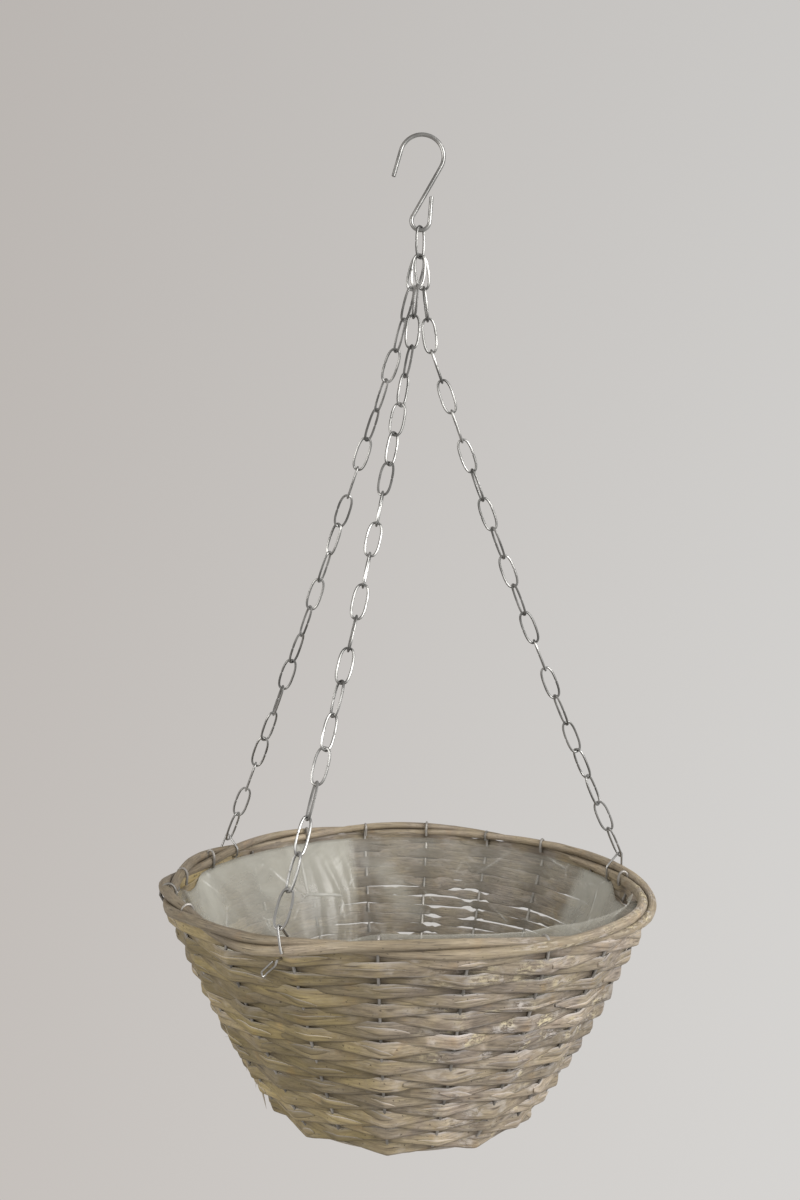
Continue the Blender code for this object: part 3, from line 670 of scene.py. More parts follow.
def make_top_link(material):
    """The link in the hook that carries the three chains."""
    bar = JOINTS["top_link_swing"]["pos_m"][2] + HOOK_WIRE_RADIUS + LINK_WIRE_RADIUS + FIT_GAP
    apex = JOINTS["basket_swing"]["pos_m"][2]
    turn = math.radians(TOP_LINK_TURN_DEG)
    across = Vector((math.sin(turn), math.cos(turn), 0))
    shape = new_shape()
    outline = link_outline(bar - apex, LINK_WIDTH, LINK_BEND_STEPS)
    add_link(shape, outline, Vector((0, 0, bar)), across, Vector((0, 0, -1)), 5)
    add_piece("carrier_link", shape, material, "top_link", ["top_link"])


def group_frames(name):
    """First bar and down direction of each link group of a chain, from the joints' own places."""
    apex = JOINTS["basket_swing"]["pos_m"][2]
    places = [Vector((0, CHAIN_ORDER[name] * FIRST_BAR_LIFT, apex + FIRST_BAR_LIFT))]
    downs = []
    for group in range(2, GROUPS_PER_CHAIN + 1):
        joint = JOINTS[f"chain_{name}_links_{group}_twist"]
        places.append(Vector(joint["pos_m"]))
        downs.append(Vector(joint["axis"]).normalized())
    downs.insert(0, (places[1] - places[0]).normalized())
    return list(zip(places, downs)), (places[2] - places[1]).length


def make_chain(name, material):
    """All link groups of one chain: three separate links in each."""
    frames, group_step = group_frames(name)
    step = group_step / LINKS_PER_GROUP
    outline = link_outline(step + LINK_CONTACT, LINK_WIDTH, LINK_BEND_STEPS)
    for group, (place, down) in enumerate(frames):
        shape = new_shape()
        level_axis = (-down).cross(Vector((1, 0, 0))).normalized()
        right_axis = level_axis.cross(-down)
        for index in range(LINKS_PER_GROUP):
            number = group * LINKS_PER_GROUP + index
            turn = math.radians(LINK_TURNS_DEG[name][number])
            across = right_axis * math.cos(turn) - level_axis * math.sin(turn)
            add_link(shape, outline, place + down * step * index, across, down, number)
        node = f"chain_{name}_links_{group + 1}"
        body = node if group else "basket"
        add_piece(f"steel_links_{name}_{group + 1}", shape, material, body, [node])


def rod_phase(azimuth_deg):
    """Twist of the rim pair: stacked at the front and the back, and quicker round at the left."""
    angle = math.radians(azimuth_deg)
    azimuth = signed_deg(azimuth_deg)
    roll = ROD_START_ROLL + ROD_HALF_TURNS * angle / 2 + ROD_SWAY_ROLL * math.cos(angle)
    roll -= ROD_BACK_ROLL * (1 - math.cos(angle))
    return roll - ROD_FRONT_ROLL * bump_over(azimuth, -40, 45, 30)


def rod_radius(azimuth_deg):
    """The rods taper: thick at the left and right of the rim and thin at the back."""
    azimuth = signed_deg(azimuth_deg)
    sides = bump_over(azimuth, -118, -62, 22) + bump_over(azimuth, 66, 118, 22)
    return ROD_RADIUS + ROD_SIDE_SWELL * sides - ROD_BACK_THINNING * smooth_step(118, 155, abs(azimuth))


def rod_centre(azimuth_deg, side):
    """How far out from the rods' own circle, and how high, one rod's centre is."""
    phase = rod_phase(azimuth_deg)
    reach = side * ROD_SPREAD_SHARE * rod_radius(azimuth_deg)
    return reach * math.cos(phase), reach * math.sin(phase)


def make_rods(material):
    """The two twisted willow rods of the rim, with knots and uneven thickness."""
    count = STAKE_COUNT * ROD_STATIONS_PER_BAY
    azimuths = [FIRST_STAKE_DEG + 360 * index / count for index in range(count)]
    for name, side, seed in (("rim_willow_outer", 1, 3.0), ("rim_willow_inner", -1, 11.0)):
        node = "rim_rod_outer" if side > 0 else "rim_rod_inner"
        stations = []
        for azimuth in azimuths:
            wander = noise.noise(front_direction(azimuth) * 2.2 + Vector((0, 0, seed)))
            radial, level = rod_centre(azimuth, side)
            radius = ROD_CIRCLE_RADIUS + radial + ROD_OUT_WANDER * wander
            level += ROD_LEVEL_WANDER * wander
            out = front_direction(azimuth)
            stations.append((rim_place(azimuth, radius, level), out, Vector((0, 0, 1))))
        shape = new_shape(*WILLOW_MARKS)

        def rod_section(index, turn):
            azimuth = azimuths[index]
            angle = 2 * math.pi * turn
            ring = front_direction(azimuth) * 9 + Vector((0, 0, seed))
            swell = 1 + 0.09 * noise.noise(ring)
            around = Vector((math.cos(angle), math.sin(angle), 0))
            flute = noise.noise(around * 1.6 + front_direction(azimuth) * 3)
            knot = max(0, noise.noise(front_direction(azimuth) * 26 + Vector((0, 0, seed))) - 0.42)
            radius = rod_radius(azimuth) * (swell + 0.08 * flute + 0.3 * knot)
            return radius * math.cos(angle), radius * math.sin(angle)

        def rod_shade(index, turn):
            twist = rod_phase(azimuths[index])
            azimuth = signed_deg(azimuths[index])
            depth = 0.9 - 0.45 * bump_over(azimuth, -60, 60, 20)
            return depth * max(0, -side * math.cos(twist - 2 * math.pi * turn)) ** 4

        def rod_tone(index, turn):
            azimuth = signed_deg(azimuths[index])
            streak = noise.noise(Vector((index * 0.03, turn * 1.5, seed + 4)))
            # Streaky tone, with painted shade darkening the left of the rim.
            return 0.55 + 0.6 * streak - 0.7 * bump_over(azimuth, -125, -32, 14)

        def rod_flake(index, turn):
            azimuth = signed_deg(azimuths[index])
            patch = noise.noise(Vector((index * 0.11, turn * 3, seed + 30)))
            return 0.8 * bump_over(azimuth, 24, 96, 10) * smooth_step(0.05, 0.3, patch)

        marks = {
            "ash": lambda index, turn: 0.35 + 0.5 * noise.noise(Vector((index * 0.05, turn, seed))),
            "edge": lambda index, turn: 0,
            "tone": rod_tone,
            "flake": rod_flake,
            "shade": rod_shade,
        }
        sweep(shape, stations, rod_section, ROD_SIDES, closed=True, marks=marks)
        add_piece(name, shape, material, "basket", [node])


def stake_hook(azimuth, rng):
    """Radius and level along a stake's hook: a tail inside the rods and the bend over them, or the stake's
    bare end where no hook shows."""
    wrapped = signed_deg(azimuth)
    near = abs(wrapped) < FRONT_HOOKS_DEG
    spread = abs(math.cos(rod_phase(azimuth)))
    across, upright = (abs(part) + rod_radius(azimuth) for part in rod_centre(azimuth, 1))
    if near and spread < 0.6 or wrapped in HIDDEN_HOOKS_DEG:
        return [(ROD_CIRCLE_RADIUS - STAKE_END_INSET, -upright)]
    outer = 0.0 if spread > 0.5 else rod_radius(azimuth) + STAKE_RADIUS
    inner = -across - STAKE_RADIUS - rng.uniform(0, STAKE_SIDE_PLAY)
    middle, half = (outer + inner) / 2, (outer - inner) / 2
    height = upright + STAKE_RADIUS + rng.uniform(0, STAKE_LIFT_PLAY) - STAKE_BED_DEPTH * spread
    tail_level = -upright + rng.uniform(-STAKE_TAIL_PLAY, STAKE_TAIL_PLAY)
    route = [(ROD_CIRCLE_RADIUS + inner + STAKE_TAIL_INSET, tail_level)]
    for step in range(STAKE_HOOK_STEPS + 1):
        angle = math.radians(180 - 180 / STAKE_HOOK_STEPS * step)
        route.append((ROD_CIRCLE_RADIUS + middle + half * math.cos(angle), height * math.sin(angle)))
    return route


def make_stakes(material):
    """Twenty stakes, hooked over the rim and run under the floor to a small ring."""
    shape = new_shape()
    rng = random.Random(5)
    for stake in range(STAKE_COUNT):
        azimuth = FIRST_STAKE_DEG + BAY_DEG * stake
        route = stake_hook(azimuth, rng)
        steps = range(1, STAKE_WALL_STEPS)
        route += [wall_section(WALL_LENGTH * step / STAKE_WALL_STEPS, 0) for step in steps]
        points = [rim_place(azimuth, radius, level) for radius, level in route]
        corner = rim_place(azimuth, BASE_STAKE_RADIUS, FOOT_LEVEL)
        foot = [points[-1], corner, rim_place(azimuth, FRAME_RING_RADIUS, FOOT_LEVEL)]
        points = points[:-1] + rounded(foot, STAKE_FOOT_BEND, 4)
        along = Vector((math.cos(math.radians(azimuth)), math.sin(math.radians(azimuth)), 0))
        add_wire(shape, points, along, STAKE_RADIUS, WIRE_SIDES)
    turns = [360 * step / FRAME_RING_POINTS for step in range(FRAME_RING_POINTS)]
    ring = [rim_place(azimuth, FRAME_RING_RADIUS, FOOT_LEVEL) for azimuth in turns]
    add_wire(shape, ring, Vector((0, 0, 1)), STAKE_RADIUS, WIRE_SIDES, closed=True)
    add_piece("stake_wires", shape, material, "basket", ["wire_frame"])


def make_hanger(name, material):
    """The wire that ties a chain to the rim: over the chain's last bar, round both rods and out, with a
    thin hairpin tail outside."""
    azimuth = CHAIN_AZIMUTH_DEG[name]
    radial, level = rod_centre(azimuth, 1)
    across = abs(radial) + rod_radius(azimuth)
    upright = abs(level) + rod_radius(azimuth)
    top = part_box(f"hanger_wire_{name}")[1].z - RIM_LEVEL - rim_wave(azimuth) - HANGER_WIRE_RADIUS
    out, inner = across + HANGER_CLEARANCE, -across - HANGER_CLEARANCE
    under = -upright - HANGER_CLEARANCE
    tail_radius, tail_level = wall_section(ROWS_TOP + HANGER_TAIL_DROP, HANGER_TAIL_OUTSET)
    tail = tail_radius - ROD_CIRCLE_RADIUS
    lean = HANGER_TAIL_LEAN
    bar = BAR_RADIUS - ROD_CIRCLE_RADIUS
    route = [
        (out, 0.0045, -0.002), (out, 0.0035, 0.001), (bar + 0.0016, 0.0004, top - 0.001), (bar, 0, top),
        (bar - 0.0016, 0.0006, top - 0.001), (inner, 0.001, upright * 0.7), (inner, 0.0012, under + 0.002),
        (inner + 0.002, 0.0012, under),
        (out, 0.0012, under), (out + 0.0003, 0.0006, under - 0.003), (tail, lean + 0.002, tail_level + 0.006),
        (tail + 0.0004, lean, tail_level + 0.003), (tail + 0.0002, lean - 0.002, tail_level + 0.006),
        (tail + 0.0035, -0.0052, tail_level + 0.0155),
    ]
    outward = front_direction(azimuth)
    along = Vector((-outward.y, outward.x, 0))
    points = []
    for radial, sideways, level in route:
        points.append(rim_place(azimuth, ROD_CIRCLE_RADIUS + radial, level) + along * sideways)
    points = rounded(points, HANGER_BEND, 4)
    radii = [HANGER_WIRE_RADIUS] * len(points)
    for index in range(len(points) * 2 // 3, len(points)):
        radii[index] = HANGER_WIRE_RADIUS * HANGER_TAIL_WIRE_SHARE
    shape = new_shape()
    hints = []
    side = along
    for index in range(len(points)):
        before, after = points[max(0, index - 1)], points[min(len(points) - 1, index + 1)]
        tangent = (after - before).normalized()
        side = (side - tangent * side.dot(tangent)).normalized()
        hints.append(side)
    add_wire(shape, points, hints, radii, WIRE_SIDES)
    add_piece(f"tie_wire_{name}", shape, material, "basket", [f"hanger_wire_{name}"])


def strip_ends(rng):
    """Where the strips of one row start, and how far each runs on over the next."""
    first = rng.uniform(0, 360)
    count = rng.choice((2, 3, 3))
    cuts = [first + 360 * index / count + rng.uniform(-25, 25) for index in range(count)]
    cuts.append(cuts[0] + 360)
    return [(start, end + rng.uniform(5, 12)) for start, end in zip(cuts, cuts[1:])]


def add_strip(shape, row, start, end, rng):
    """One split strip, bent round the outside of one stake and the inside of the next, with thinned ends."""
    count = round((end - start) / BAY_DEG * STATIONS_PER_BAY)
    seed = rng.uniform(0, 90)
    width_share = rng.uniform(0.8, 1.14)
    ash, tone, flaky = rng.uniform(0, 1), rng.uniform(0.1, 0.9), rng.uniform(0, 1)
    lean = math.radians(STRIP_TILT_DEG + rng.uniform(-5, 5))

    def stake_place(stake, distance):
        side = 1 if (stake + row) % 2 == 0 else -1
        swing = side * STRIP_SWING * (1 + 0.25 * noise.noise(Vector((stake * 1.7, row * 2.3, seed))))
        return wall_place(FIRST_STAKE_DEG + BAY_DEG * stake, distance, swing)

    def straight_place(azimuth, distance):
        stake = math.floor((azimuth - FIRST_STAKE_DEG) / BAY_DEG)
        share = (azimuth - FIRST_STAKE_DEG) / BAY_DEG - stake
        return stake_place(stake, distance).lerp(stake_place(stake + 1, distance), share)

    stations, halves, leaves = [], [], []
    ashen_lit_rights, backs, shaded_lefts, flakes = [], [], [], []
    for index in range(count + 1):
        azimuth = start + (end - start) * index / count
        region = signed_deg(azimuth)
        along = noise.noise(Vector((azimuth * 0.05, row * 3.1, seed)))
        drift = noise.noise(front_direction(azimuth) * 1.3 + Vector((0, 0, row * 0.4)))
        skew = noise.noise(Vector((azimuth * 0.08, row * 7.7, 3)))
        distance = ROWS_TOP + ROW_PITCH / 2 + row * ROW_PITCH
        distance = distance + STRIP_DRIFT * drift + STRIP_WANDER * along + STRIP_SKEW * skew
        first_end = smooth_step(0, STRIP_END_DEG, azimuth - start)
        last_end = smooth_step(0, STRIP_END_DEG, end - azimuth)
        before = straight_place(azimuth - BEND_REACH_DEG, distance)
        after = straight_place(azimuth + BEND_REACH_DEG, distance)
        out = (after - before).cross(Vector((0, 0, 1))).normalized()
        place = (before + after) * 0.25 + straight_place(azimuth, distance) * 0.5
        place += out * STRIP_END_LIFT * (last_end - first_end)
        tilt = WALL_SLOPE - lean + 0.1 * along
        face = out * math.cos(tilt) - Vector((0, 0, math.sin(tilt)))
        down = -out * math.sin(tilt) - Vector((0, 0, math.cos(tilt)))
        stations.append((place, face, down))
        taper = 0.3 + 0.7 * min(first_end, last_end) ** 0.6
        leaf = math.cos(math.pi * ((azimuth - FIRST_STAKE_DEG) / BAY_DEG + row))
        back = smooth_step(*BACK_DEG, abs(region))
        slit = smooth_step(0.0, 0.35, noise.noise(Vector((azimuth * 0.11, row * 5.3, 7))))
        slit *= 0.25 + 0.75 * smooth_step(2, 7, row)
        slit *= 1 - bump_over(region, *CLOSE_WALL_DEG)
        slit *= smooth_step(-0.2, 0.2, noise.noise(Vector((azimuth * 0.33, row * 3.7, 9))))
        swell = 1 + 0.24 * along + 0.08 * leaf
        halves.append(STRIP_HALF_HEIGHT * width_share * swell * (1 - 0.54 * back * slit) * taper)
        ashen_lit_rights.append(bump_over(region, *ASHEN_AND_LIT_SIDE_DEG))
        backs.append(back)
        shaded_lefts.append(bump_over(region, *SHADED_LEFT_SIDE_DEG))
        flakes.append(bump_over(region, *FLAKY_SIDE_DEG) * (0.6 + 0.4 * bump_over(row, *FLAKY_ROWS)))
        leaves.append(leaf)

    def strip_section(index, turn):
        angle = 2 * math.pi * turn
        across = math.copysign(abs(math.cos(angle)) ** 0.6, math.cos(angle))
        lift = math.copysign(abs(math.sin(angle)) ** 0.75, math.sin(angle))
        ribs = STRIP_RIB * noise.noise(Vector((index * 0.03, across * 3.1, seed + 20)))
        crown = (STRIP_CROWN * (1 - across * across) + ribs) * max(0, lift)
        fray = 1 + 0.05 * noise.noise(Vector((index * 0.31, across * 9, seed + 40))) * abs(across)
        return STRIP_HALF_THICKNESS * lift + crown, halves[index] * across * fray

    def flake_mark(index, turn):
        patch = noise.noise(Vector((index * 0.13, turn * 2.4, seed + 60)))
        return flakes[index] * smooth_step(0.06, 0.26, patch) * smooth_step(0.1, 0.4, flaky)

    def shade_mark(index, turn):
        tucked = smooth_step(0.35, 0.95, -leaves[index])
        under = max(0, math.cos(2 * math.pi * turn)) ** 9
        behind = 0.8 * smooth_step(0.84, 1, -leaves[index])
        return max((0.36 + 0.24 * backs[index]) * tucked, behind, under)

    def edge_mark(index, turn):
        # Pale upper edge: the peeled edge colour, and a painted highlight where the edge faces up to the
        # light, stronger on the lit right side and gone where the strip is tucked in.
        upper = max(0, -math.cos(2 * math.pi * turn)) ** 5
        return upper * smooth_step(-0.2, 0.8, leaves[index]) * (0.4 + 0.6 * ashen_lit_rights[index])

    def tone_mark(index, turn):
        stretch = noise.noise(Vector((index * 0.06, row, seed + 80)))
        leaf_tone = noise.cell(Vector((index / STATIONS_PER_BAY / 2 + row * 0.5, row, seed)))
        # Painted light and shade by side: lighter on the lit right, darker at the left, and much darker at
        # the back.
        region = 0.16 * ashen_lit_rights[index] - 0.85 * backs[index] - 0.06 - 0.14 * shaded_lefts[index]
        return tone + 0.2 * stretch + (0.4 + 0.6 * backs[index]) * (leaf_tone - 0.5) + region

    marks = {
        "ash": lambda index, turn: min(1, 0.25 * ash + 0.7 * ashen_lit_rights[index] + 0.65 * backs[index]),
        "edge": edge_mark,
        "tone": tone_mark,
        "flake": flake_mark,
        "shade": shade_mark,
    }
    sweep(shape, stations, strip_section, STRIP_SIDES, marks=marks)
    for peak in range(10, count - 12):
        crest = leaves[peak] > leaves[peak - 1] and leaves[peak] >= leaves[peak + 1]
        if crest and rng.random() < SLIVER_ODDS:
            first, last = peak - rng.randint(2, 9), peak + rng.randint(3, 11)
            add_sliver(shape, stations[first:last + 1], halves[peak], marks, first, rng)


def add_sliver(shape, stations, half, strip_marks, first, rng):
    """A torn sliver of bark that lies on a strip's face, pointed at both ends."""
    start, end = rng.uniform(-0.75, 0.5) * half, rng.uniform(-0.5, 0.75) * half
    width = rng.uniform(*SLIVER_WIDTHS)
    curl = rng.uniform(0, SLIVER_CURL)
    tone = rng.choice(SLIVER_TONES)
    last = len(stations) - 1
    placed = []
    for index, (place, face, down) in enumerate(stations):
        share = index / last
        level = start + (end - start) * share
        lift = STRIP_HALF_THICKNESS + STRIP_CROWN * (1 - (level / half) ** 2) + curl * (2 * share - 1) ** 4
        placed.append((place + down * level + face * lift, face, down))

    def sliver_section(index, turn):
        angle = 2 * math.pi * turn
        taper = 0.06 + max(0, math.sin(math.pi * index / last)) ** 0.8
        return SLIVER_THICKNESS * math.sin(angle), width * taper * math.cos(angle)

    # Pale upper edge, partly a painted highlight, and painted shade on the underside.
    marks = {
        "ash": lambda index, turn: strip_marks["ash"](first + index, turn),
        "edge": lambda index, turn: 0.8 * max(0, -math.cos(2 * math.pi * turn)) ** 5,
        "tone": lambda index, turn: strip_marks["tone"](first + index, turn) + tone,
        "flake": lambda index, turn: strip_marks["flake"](first + index, turn),
        "shade": lambda index, turn: max(0, math.cos(2 * math.pi * turn)) ** 5,
    }
    sweep(shape, placed, sliver_section, WIRE_SIDES, marks=marks)


def make_rows(material):
    """The woven rows, each of two or three strips with lapped ends, and one more row round the foot."""
    for row in range(ROW_COUNT + 1):
        rng = random.Random(100 + row)
        shape = new_shape(*WILLOW_MARKS)
        for start, end in strip_ends(rng):
            add_strip(shape, row, start, end, rng)
        if row == ROW_COUNT:
            add_piece("willow_foot_row", shape, material, "basket")
            continue
        number = f"{row + 1:02d}"
        add_piece(f"willow_row_{number}", shape, material, "basket", [f"weave_row_{number}"])


def make_base(material):
    """The woven base: rings of split willow, over one foot wire and under the next, in a round border."""
    shape = new_shape(*WILLOW_MARKS)
    rng = random.Random(40)
    rings = round((BASE_RADIUS - BASE_EDGE_INSET) / BASE_RING_PITCH)
    middle = BASE_THICKNESS / 2 - BASKET_DEPTH
    for ring in range(rings + 1):
        border = ring == rings
        radius = BASE_RADIUS - BASE_BORDER_RADIUS if border else BASE_RING_PITCH * (ring + 0.5)
        count = max(24, round(radius * BASE_POINTS_PER_METRE))
        tone, ash = rng.uniform(0.1, 0.9), rng.uniform(0.2, 0.9)
        stations = []
        for index in range(count):
            azimuth = 360 * index / count
            weave = math.cos(math.pi * ((azimuth - FIRST_STAKE_DEG) / BAY_DEG + ring))
            swing = 0 if border or ring < 3 else BASE_WEAVE_SWING * weave
            place = rim_place(azimuth, radius, middle + swing)
            stations.append((place, front_direction(azimuth), Vector((0, 0, 1))))
        half, thick = (BASE_BORDER_RADIUS, BASE_BORDER_RADIUS) if border else BASE_STRIP_HALF

        def ring_section(index, turn):
            angle = 2 * math.pi * turn
            across = math.copysign(abs(math.cos(angle)) ** 0.75, math.cos(angle))
            return half * across, thick * math.sin(angle)

        marks = {
            "ash": lambda index, turn: ash,
            "edge": lambda index, turn: 0.6 * abs(math.cos(2 * math.pi * turn)) ** 8,
            "tone": lambda index, turn: tone,
            "flake": lambda index, turn: 0,
            "shade": lambda index, turn: 0,
        }
        sweep(shape, stations, ring_section, 10, closed=True, marks=marks)
    add_piece("woven_base", shape, material, "basket", ["base_panel"])


def film_top(azimuth_deg):
    """Level of the film's upper edge round the rim."""
    azimuth = signed_deg(azimuth_deg)
    level = FILM_TOP_LEVEL
    for start, end, soft, rise in FILM_TOP_STEPS:
        level += rise * bump_over(azimuth, start, end, soft)
    return level + FILM_TOP_WAVE * noise.noise(Vector((azimuth_deg * 0.13, 2, 0)))


def film_place(azimuth_deg, drop):
    """Point of the film: drop is 0 at its upper edge, 1 at the foot and 2 at the middle of the floor."""
    azimuth = signed_deg(azimuth_deg)
    out = front_direction(azimuth_deg)
    floor = FOOT_LEVEL + STAKE_RADIUS + FILM_FLOOR_GAP
    foot = (-floor + FILM_OFFSET * math.sin(WALL_SLOPE)) / math.cos(WALL_SLOPE)
    top = -film_top(azimuth_deg) / math.cos(WALL_SLOPE)
    spot = out * 4 + Vector((0, 0, 1.6 * drop))
    crumple = noise.ridged_multi_fractal(spot * 0.9, 1.0, 2.1, 3, 1.0, 2.0, noise_basis="PERLIN_ORIGINAL")
    if drop > 1:
        radius = wall_section(foot, -FILM_OFFSET)[0] * (2 - drop)
        lift = FILM_FLOOR_WRINKLE * crumple * min(1, (drop - 1) * 6) * min(1, (2 - drop) * 4)
        return out * radius + Vector((0, 0, RIM_LEVEL + floor + lift))
    distance = top + (foot - top) * drop
    loose = math.sin(math.pi * min(1, drop)) ** 0.7
    folds = sum(depth * bump_over(azimuth, start, end, soft) for start, end, soft, depth in FILM_FLAPS)
    wrinkle = FILM_WRINKLE + FILM_LEFT_WRINKLE * bump_over(azimuth, -164, -148, 5)
    for middle, sway, height in FILM_PLEATS:
        wave = middle + sway * math.sin(7 * drop + middle)
        folds += height * bump_over(azimuth, wave - 0.9, wave + 0.9, 1.1)
    inward = FILM_OFFSET + loose * (wrinkle * crumple + folds)
    radius, level = wall_section(distance, -inward)
    if distance < 0.008:
        radius = min(radius, RIM_PAIR_RADIUS - FILM_ROD_INSET + 0.4 * max(0, level))
    return rim_place(azimuth_deg, radius, max(level, floor))


def film_milk(azimuth_deg, drop):
    """How milky the film is: most in the folds at the left and right, least at the back."""
    azimuth = signed_deg(azimuth_deg)
    cloud = noise.fractal(front_direction(azimuth_deg) * 5 + Vector((0, 0, 2.2 * drop)), 0.8, 2.0, 3)
    milk = 0.1 + 0.06 * cloud
    left = bump_over(azimuth, -163.5, -96, 1.6)
    milk += 0.5 * left * (1 - 0.75 * smooth_step(0.18, 0.55, drop)) * (1 + 0.35 * cloud)
    milk += 0.55 * bump_over(azimuth, 97, 122, 2.5) * (1 - 0.4 * smooth_step(0.4, 0.9, drop))
    milk += 0.1 * (1 - smooth_step(0.05, 0.24, drop + 0.05 * cloud))
    milk += 0.35 * (1 - smooth_step(0, 0.06, drop)) * bump_over(azimuth, -20, 95, 6)
    milk += 0.26 * bump_over(azimuth_deg % 360 + 44 * drop, 191, 199, 3) * bump_over(drop, 0.12, 0.42, 0.05)
    return min(0.92, max(0.03, milk))


def make_film(material):
    """The polythene liner: one sheet over the floor and up the wall, with its folds and creases."""
    shape = new_shape("milk")
    layer = shape.verts.layers.float["milk"]
    grain = shape.loops.layers.uv["grain"]
    made = bmesh.ops.create_grid(shape, x_segments=FILM_COLUMNS, y_segments=FILM_ROWS, size=0.5)["verts"]
    places = {}
    for vert in made:
        azimuth = 360 * (vert.co.x + 0.5)
        drop = 2 * (0.5 - vert.co.y)
        places[vert] = (math.radians(azimuth) * 0.13, drop * 0.2)
        vert.co = film_place(azimuth % 360, drop)
        vert[layer] = film_milk(azimuth % 360, drop)
    for face in shape.faces:
        for loop in face.loops:
            loop[grain].uv = places[loop.vert]
    bmesh.ops.remove_doubles(shape, verts=shape.verts, dist=MERGE_DISTANCE)
    film = add_piece("film_liner", shape, material, "basket", ["liner"])
    film_wall = film.modifiers.new("film", "SOLIDIFY")
    film_wall.thickness = FILM_THICKNESS


# Studio and camera
FLOOR_RADIUS = 0.8
FLOOR_LEVEL = -1.2
LAMP_AIM = (0, 0, -0.5)
CAMERA_TURNS_DEG = (-0.0325, 1.0376, 1.176)
CAMERA_OVER_RIM = (-0.0086, -0.8802, 0.2185)
CAMERA_LENS_MM = 36.86
CAMERA_SENSOR_MM = 36

# Splinters: azimuth, distance down the wall, length, width and pitch in radians
SPLINTER_STEPS = 8
SPLINTER_SAG_SHARE = 0.12
SPLINTERS = (
    (-96, 0.020, 0.0045, 0.0011, -1.0), (-92, 0.064, 0.006, 0.0016, -1.7), (-86, 0.124, 0.0085, 0.0004, 0.15),
    (-80, 0.140, 0.005, 0.0012, -1.6), (-66, 0.150, 0.0125, 0.0019, -1.85), (88, 0.118, 0.006, 0.0004, 0.3),
    (84, 0.104, 0.004, 0.0010, -1.2), (-72, 0.148, 0.004, 0.0008, -1.5),
)


def make_splinters(material):
    """Torn ends and hairs of willow that stand off the wall."""
    shape = new_shape(*WILLOW_MARKS)
    for azimuth, distance, length, width, pitch in SPLINTERS:
        root = wall_place(azimuth, distance, 0.002)
        out = front_direction(azimuth)
        aim = out * math.cos(pitch) + Vector((0, 0, math.sin(pitch)))
        stations = []
        for step in range(SPLINTER_STEPS + 1):
            share = step / SPLINTER_STEPS
            sag = Vector((0, 0, -SPLINTER_SAG_SHARE * length * share * share))
            point = root + aim * length * share + sag
            side = Vector((math.cos(math.radians(azimuth)), math.sin(math.radians(azimuth)), 0))
            stations.append((point, side, aim.cross(side)))

        def splinter_section(index, turn):
            angle = 2 * math.pi * turn
            taper = 1 - (index / SPLINTER_STEPS) ** 1.4 * 0.93
            return width * taper * math.cos(angle), width * 0.3 * taper * math.sin(angle)

        marks = {
            "ash": lambda index, turn: 0.4, "edge": lambda index, turn: 0.3,
            "tone": lambda index, turn: 0.55, "flake": lambda index, turn: 0,
            "shade": lambda index, turn: 0,
        }
        sweep(shape, stations, splinter_section, WIRE_SIDES, marks=marks)
    add_piece("willow_splinters", shape, material, "basket")


def make_stage():
    """A pale floor well under the basket, fading into a plain pale backdrop."""
    shape = bmesh.new()
    bmesh.ops.create_circle(shape, cap_ends=True, segments=64, radius=FLOOR_RADIUS)
    bmesh.ops.translate(shape, verts=shape.verts, vec=(0, 0, FLOOR_LEVEL))
    mesh = bpy.data.meshes.new("studio_floor")
    shape.to_mesh(mesh)
    shape.free()
    finish = Finish("studio_floor")
    place = finish.objectspace()
    flat = finish.node("VectorMath", {0: place, 1: (1.0, 1.0, 0.0)}, operation="MULTIPLY").outputs["Vector"]
    reach = finish.node("VectorMath", {0: flat}, operation="LENGTH").outputs["Value"]
    finish.set(
        Base_Color=(0.6, 0.58, 0.56), Roughness=0.9, Alpha=finish.span(reach, 0.3, 0.78, 1.0, 0.0),
    )
    mesh.materials.append(finish.material)
    floor = bpy.data.objects.new("studio_floor", mesh)
    bpy.context.scene.collection.objects.link(floor)


def make_world():
    """Backdrop colour for what the camera, gloss and glass see, and a soft fill for the rest."""
    world = bpy.data.worlds.new("studio")
    bpy.context.scene.world = world
    world.use_nodes = True
    world.node_tree.nodes.clear()
    studio = NodeTree(world.node_tree)
    parts = studio.node("SeparateXYZ", {0: studio.node("TexCoord").outputs["Generated"]}).outputs
    colour = studio.mix(studio.span(parts["X"], -0.32, 0.32), BACKDROP_LEFT, BACKDROP_RIGHT)
    strength = studio.span(parts["Z"], -0.5, 0.45, 1.07, 0.93)
    seen = studio.node("Background", {"Color": colour, "Strength": strength})
    fill = studio.node("Background", {"Color": FILL_LIGHT, "Strength": 0.43})
    ray = studio.node("LightPath").outputs
    direct = studio.sum(ray["Is Camera Ray"], ray["Is Glossy Ray"], "MAXIMUM")
    direct = studio.sum(direct, ray["Is Transmission Ray"], "MAXIMUM")
    choice = studio.node("MixShader", {0: direct, 1: fill.outputs[0], 2: seen.outputs[0]})
    studio.node("OutputWorld", {"Surface": choice.outputs[0]})


def add_lamp(name, place, aim, size, power, colour):
    """A soft square lamp."""
    data = bpy.data.lights.new(name, "AREA")
    data.size = size
    data.energy = power
    data.color = colour
    lamp = bpy.data.objects.new(name, data)
    lamp.location = place
    lamp.rotation_euler = (Vector(aim) - Vector(place)).to_track_quat("-Z", "Y").to_euler()
    bpy.context.scene.collection.objects.link(lamp)


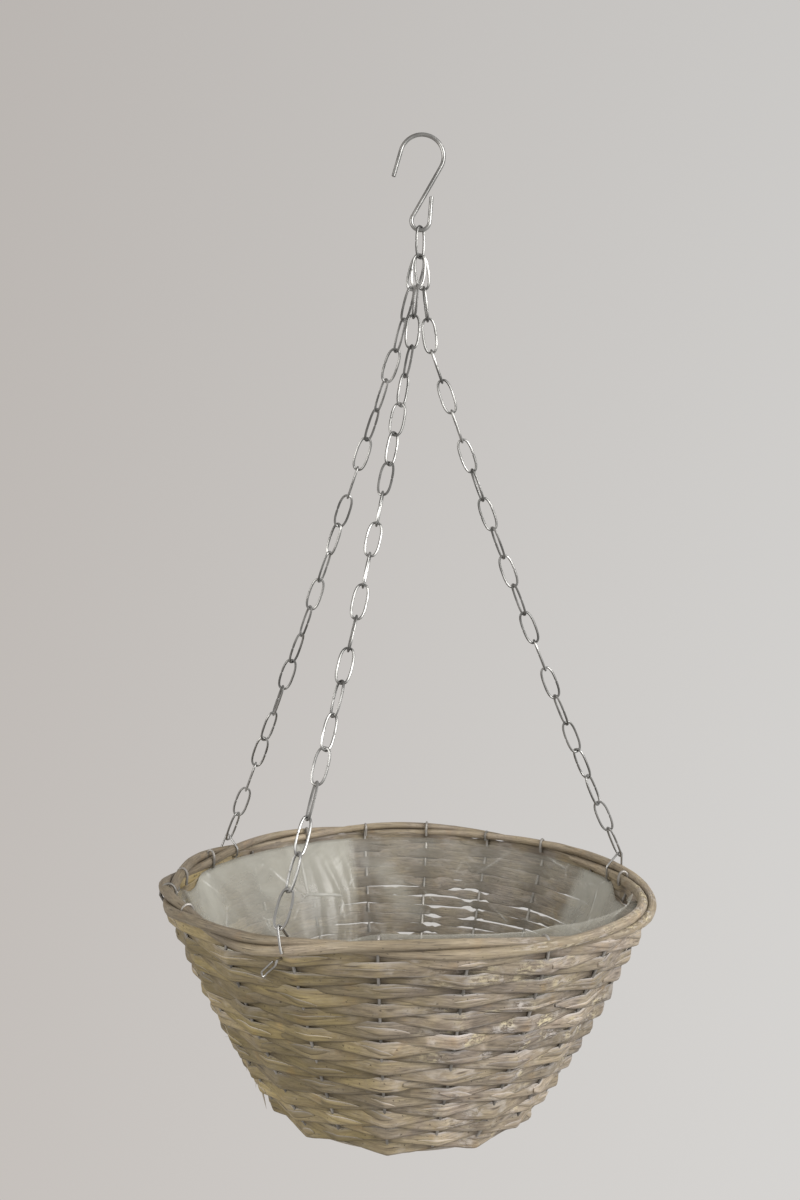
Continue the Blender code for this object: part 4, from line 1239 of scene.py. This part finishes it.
def make_camera():
    """The photograph's own viewpoint, fitted to its chain joints and rim."""
    yaw, tilt, roll = (math.radians(angle) for angle in CAMERA_TURNS_DEG)
    forward = Vector((math.sin(yaw) * math.cos(tilt), math.cos(yaw) * math.cos(tilt), -math.sin(tilt)))
    level = Vector((math.cos(yaw), -math.sin(yaw), 0))
    upright = level.cross(forward)
    right = level * math.cos(roll) + upright * math.sin(roll)
    up = upright * math.cos(roll) - level * math.sin(roll)
    data = bpy.data.cameras.new("photo_camera")
    data.sensor_width = CAMERA_SENSOR_MM
    data.lens = CAMERA_LENS_MM
    data.clip_start, data.clip_end = 0.05, 50
    camera = bpy.data.objects.new("photo_camera", data)
    matrix = Matrix((right, up, -forward)).transposed().to_4x4()
    right_of_axis, behind_axis, over_rim = CAMERA_OVER_RIM
    matrix.translation = Vector((right_of_axis, behind_axis, RIM_LEVEL + over_rim))
    camera.matrix_world = matrix
    bpy.context.scene.collection.objects.link(camera)
    bpy.context.scene.camera = camera


def main():
    """Dress the whole basket and set the studio."""
    chain_zinc = zinc_wire("chain_zinc", (0.37, 0.37, 0.362), (0.17, 0.17, 0.165), 0.3, painted_highlight=0.4)
    hook_zinc = zinc_wire("hook_zinc", (0.42, 0.42, 0.41), (0.22, 0.22, 0.215), 0.28)
    stake_zinc = zinc_wire("stake_zinc", (0.38, 0.36, 0.335), (0.17, 0.16, 0.145), 0.46, 0.5)
    strip_willow = willow(
        "strip_willow", (0.3, 0.236, 0.1), (0.37, 0.315, 0.245), (0.325, 0.275, 0.235), (0.62, 0.565, 0.51),
        (0.17, 0.125, 0.08),
    )
    rod_willow = willow(
        "rod_willow", (0.34, 0.278, 0.18), (0.345, 0.29, 0.225), (0.28, 0.235, 0.2), (0.5, 0.44, 0.34),
        (0.14, 0.105, 0.07), 0.0002,
    )
    make_hook(hook_zinc)
    make_top_link(chain_zinc)
    for name in CHAIN_AZIMUTH_DEG:
        make_chain(name, chain_zinc)
        make_hanger(name, chain_zinc)
    make_rods(rod_willow)
    make_stakes(stake_zinc)
    make_rows(strip_willow)
    make_base(strip_willow)
    make_film(polythene("clear_film", 0.62))
    make_splinters(strip_willow)
    make_stage()
    make_world()
    add_lamp("key_lamp", (1.7, -1.5, 0.75), LAMP_AIM, 1.6, 62, (1.0, 0.985, 0.965))
    add_lamp("left_lamp", (-1.8, -1.2, 0.2), LAMP_AIM, 1.4, 20, (1.0, 0.98, 0.94))
    bpy.context.scene.view_settings.view_transform = "Standard"
    make_camera()


main()
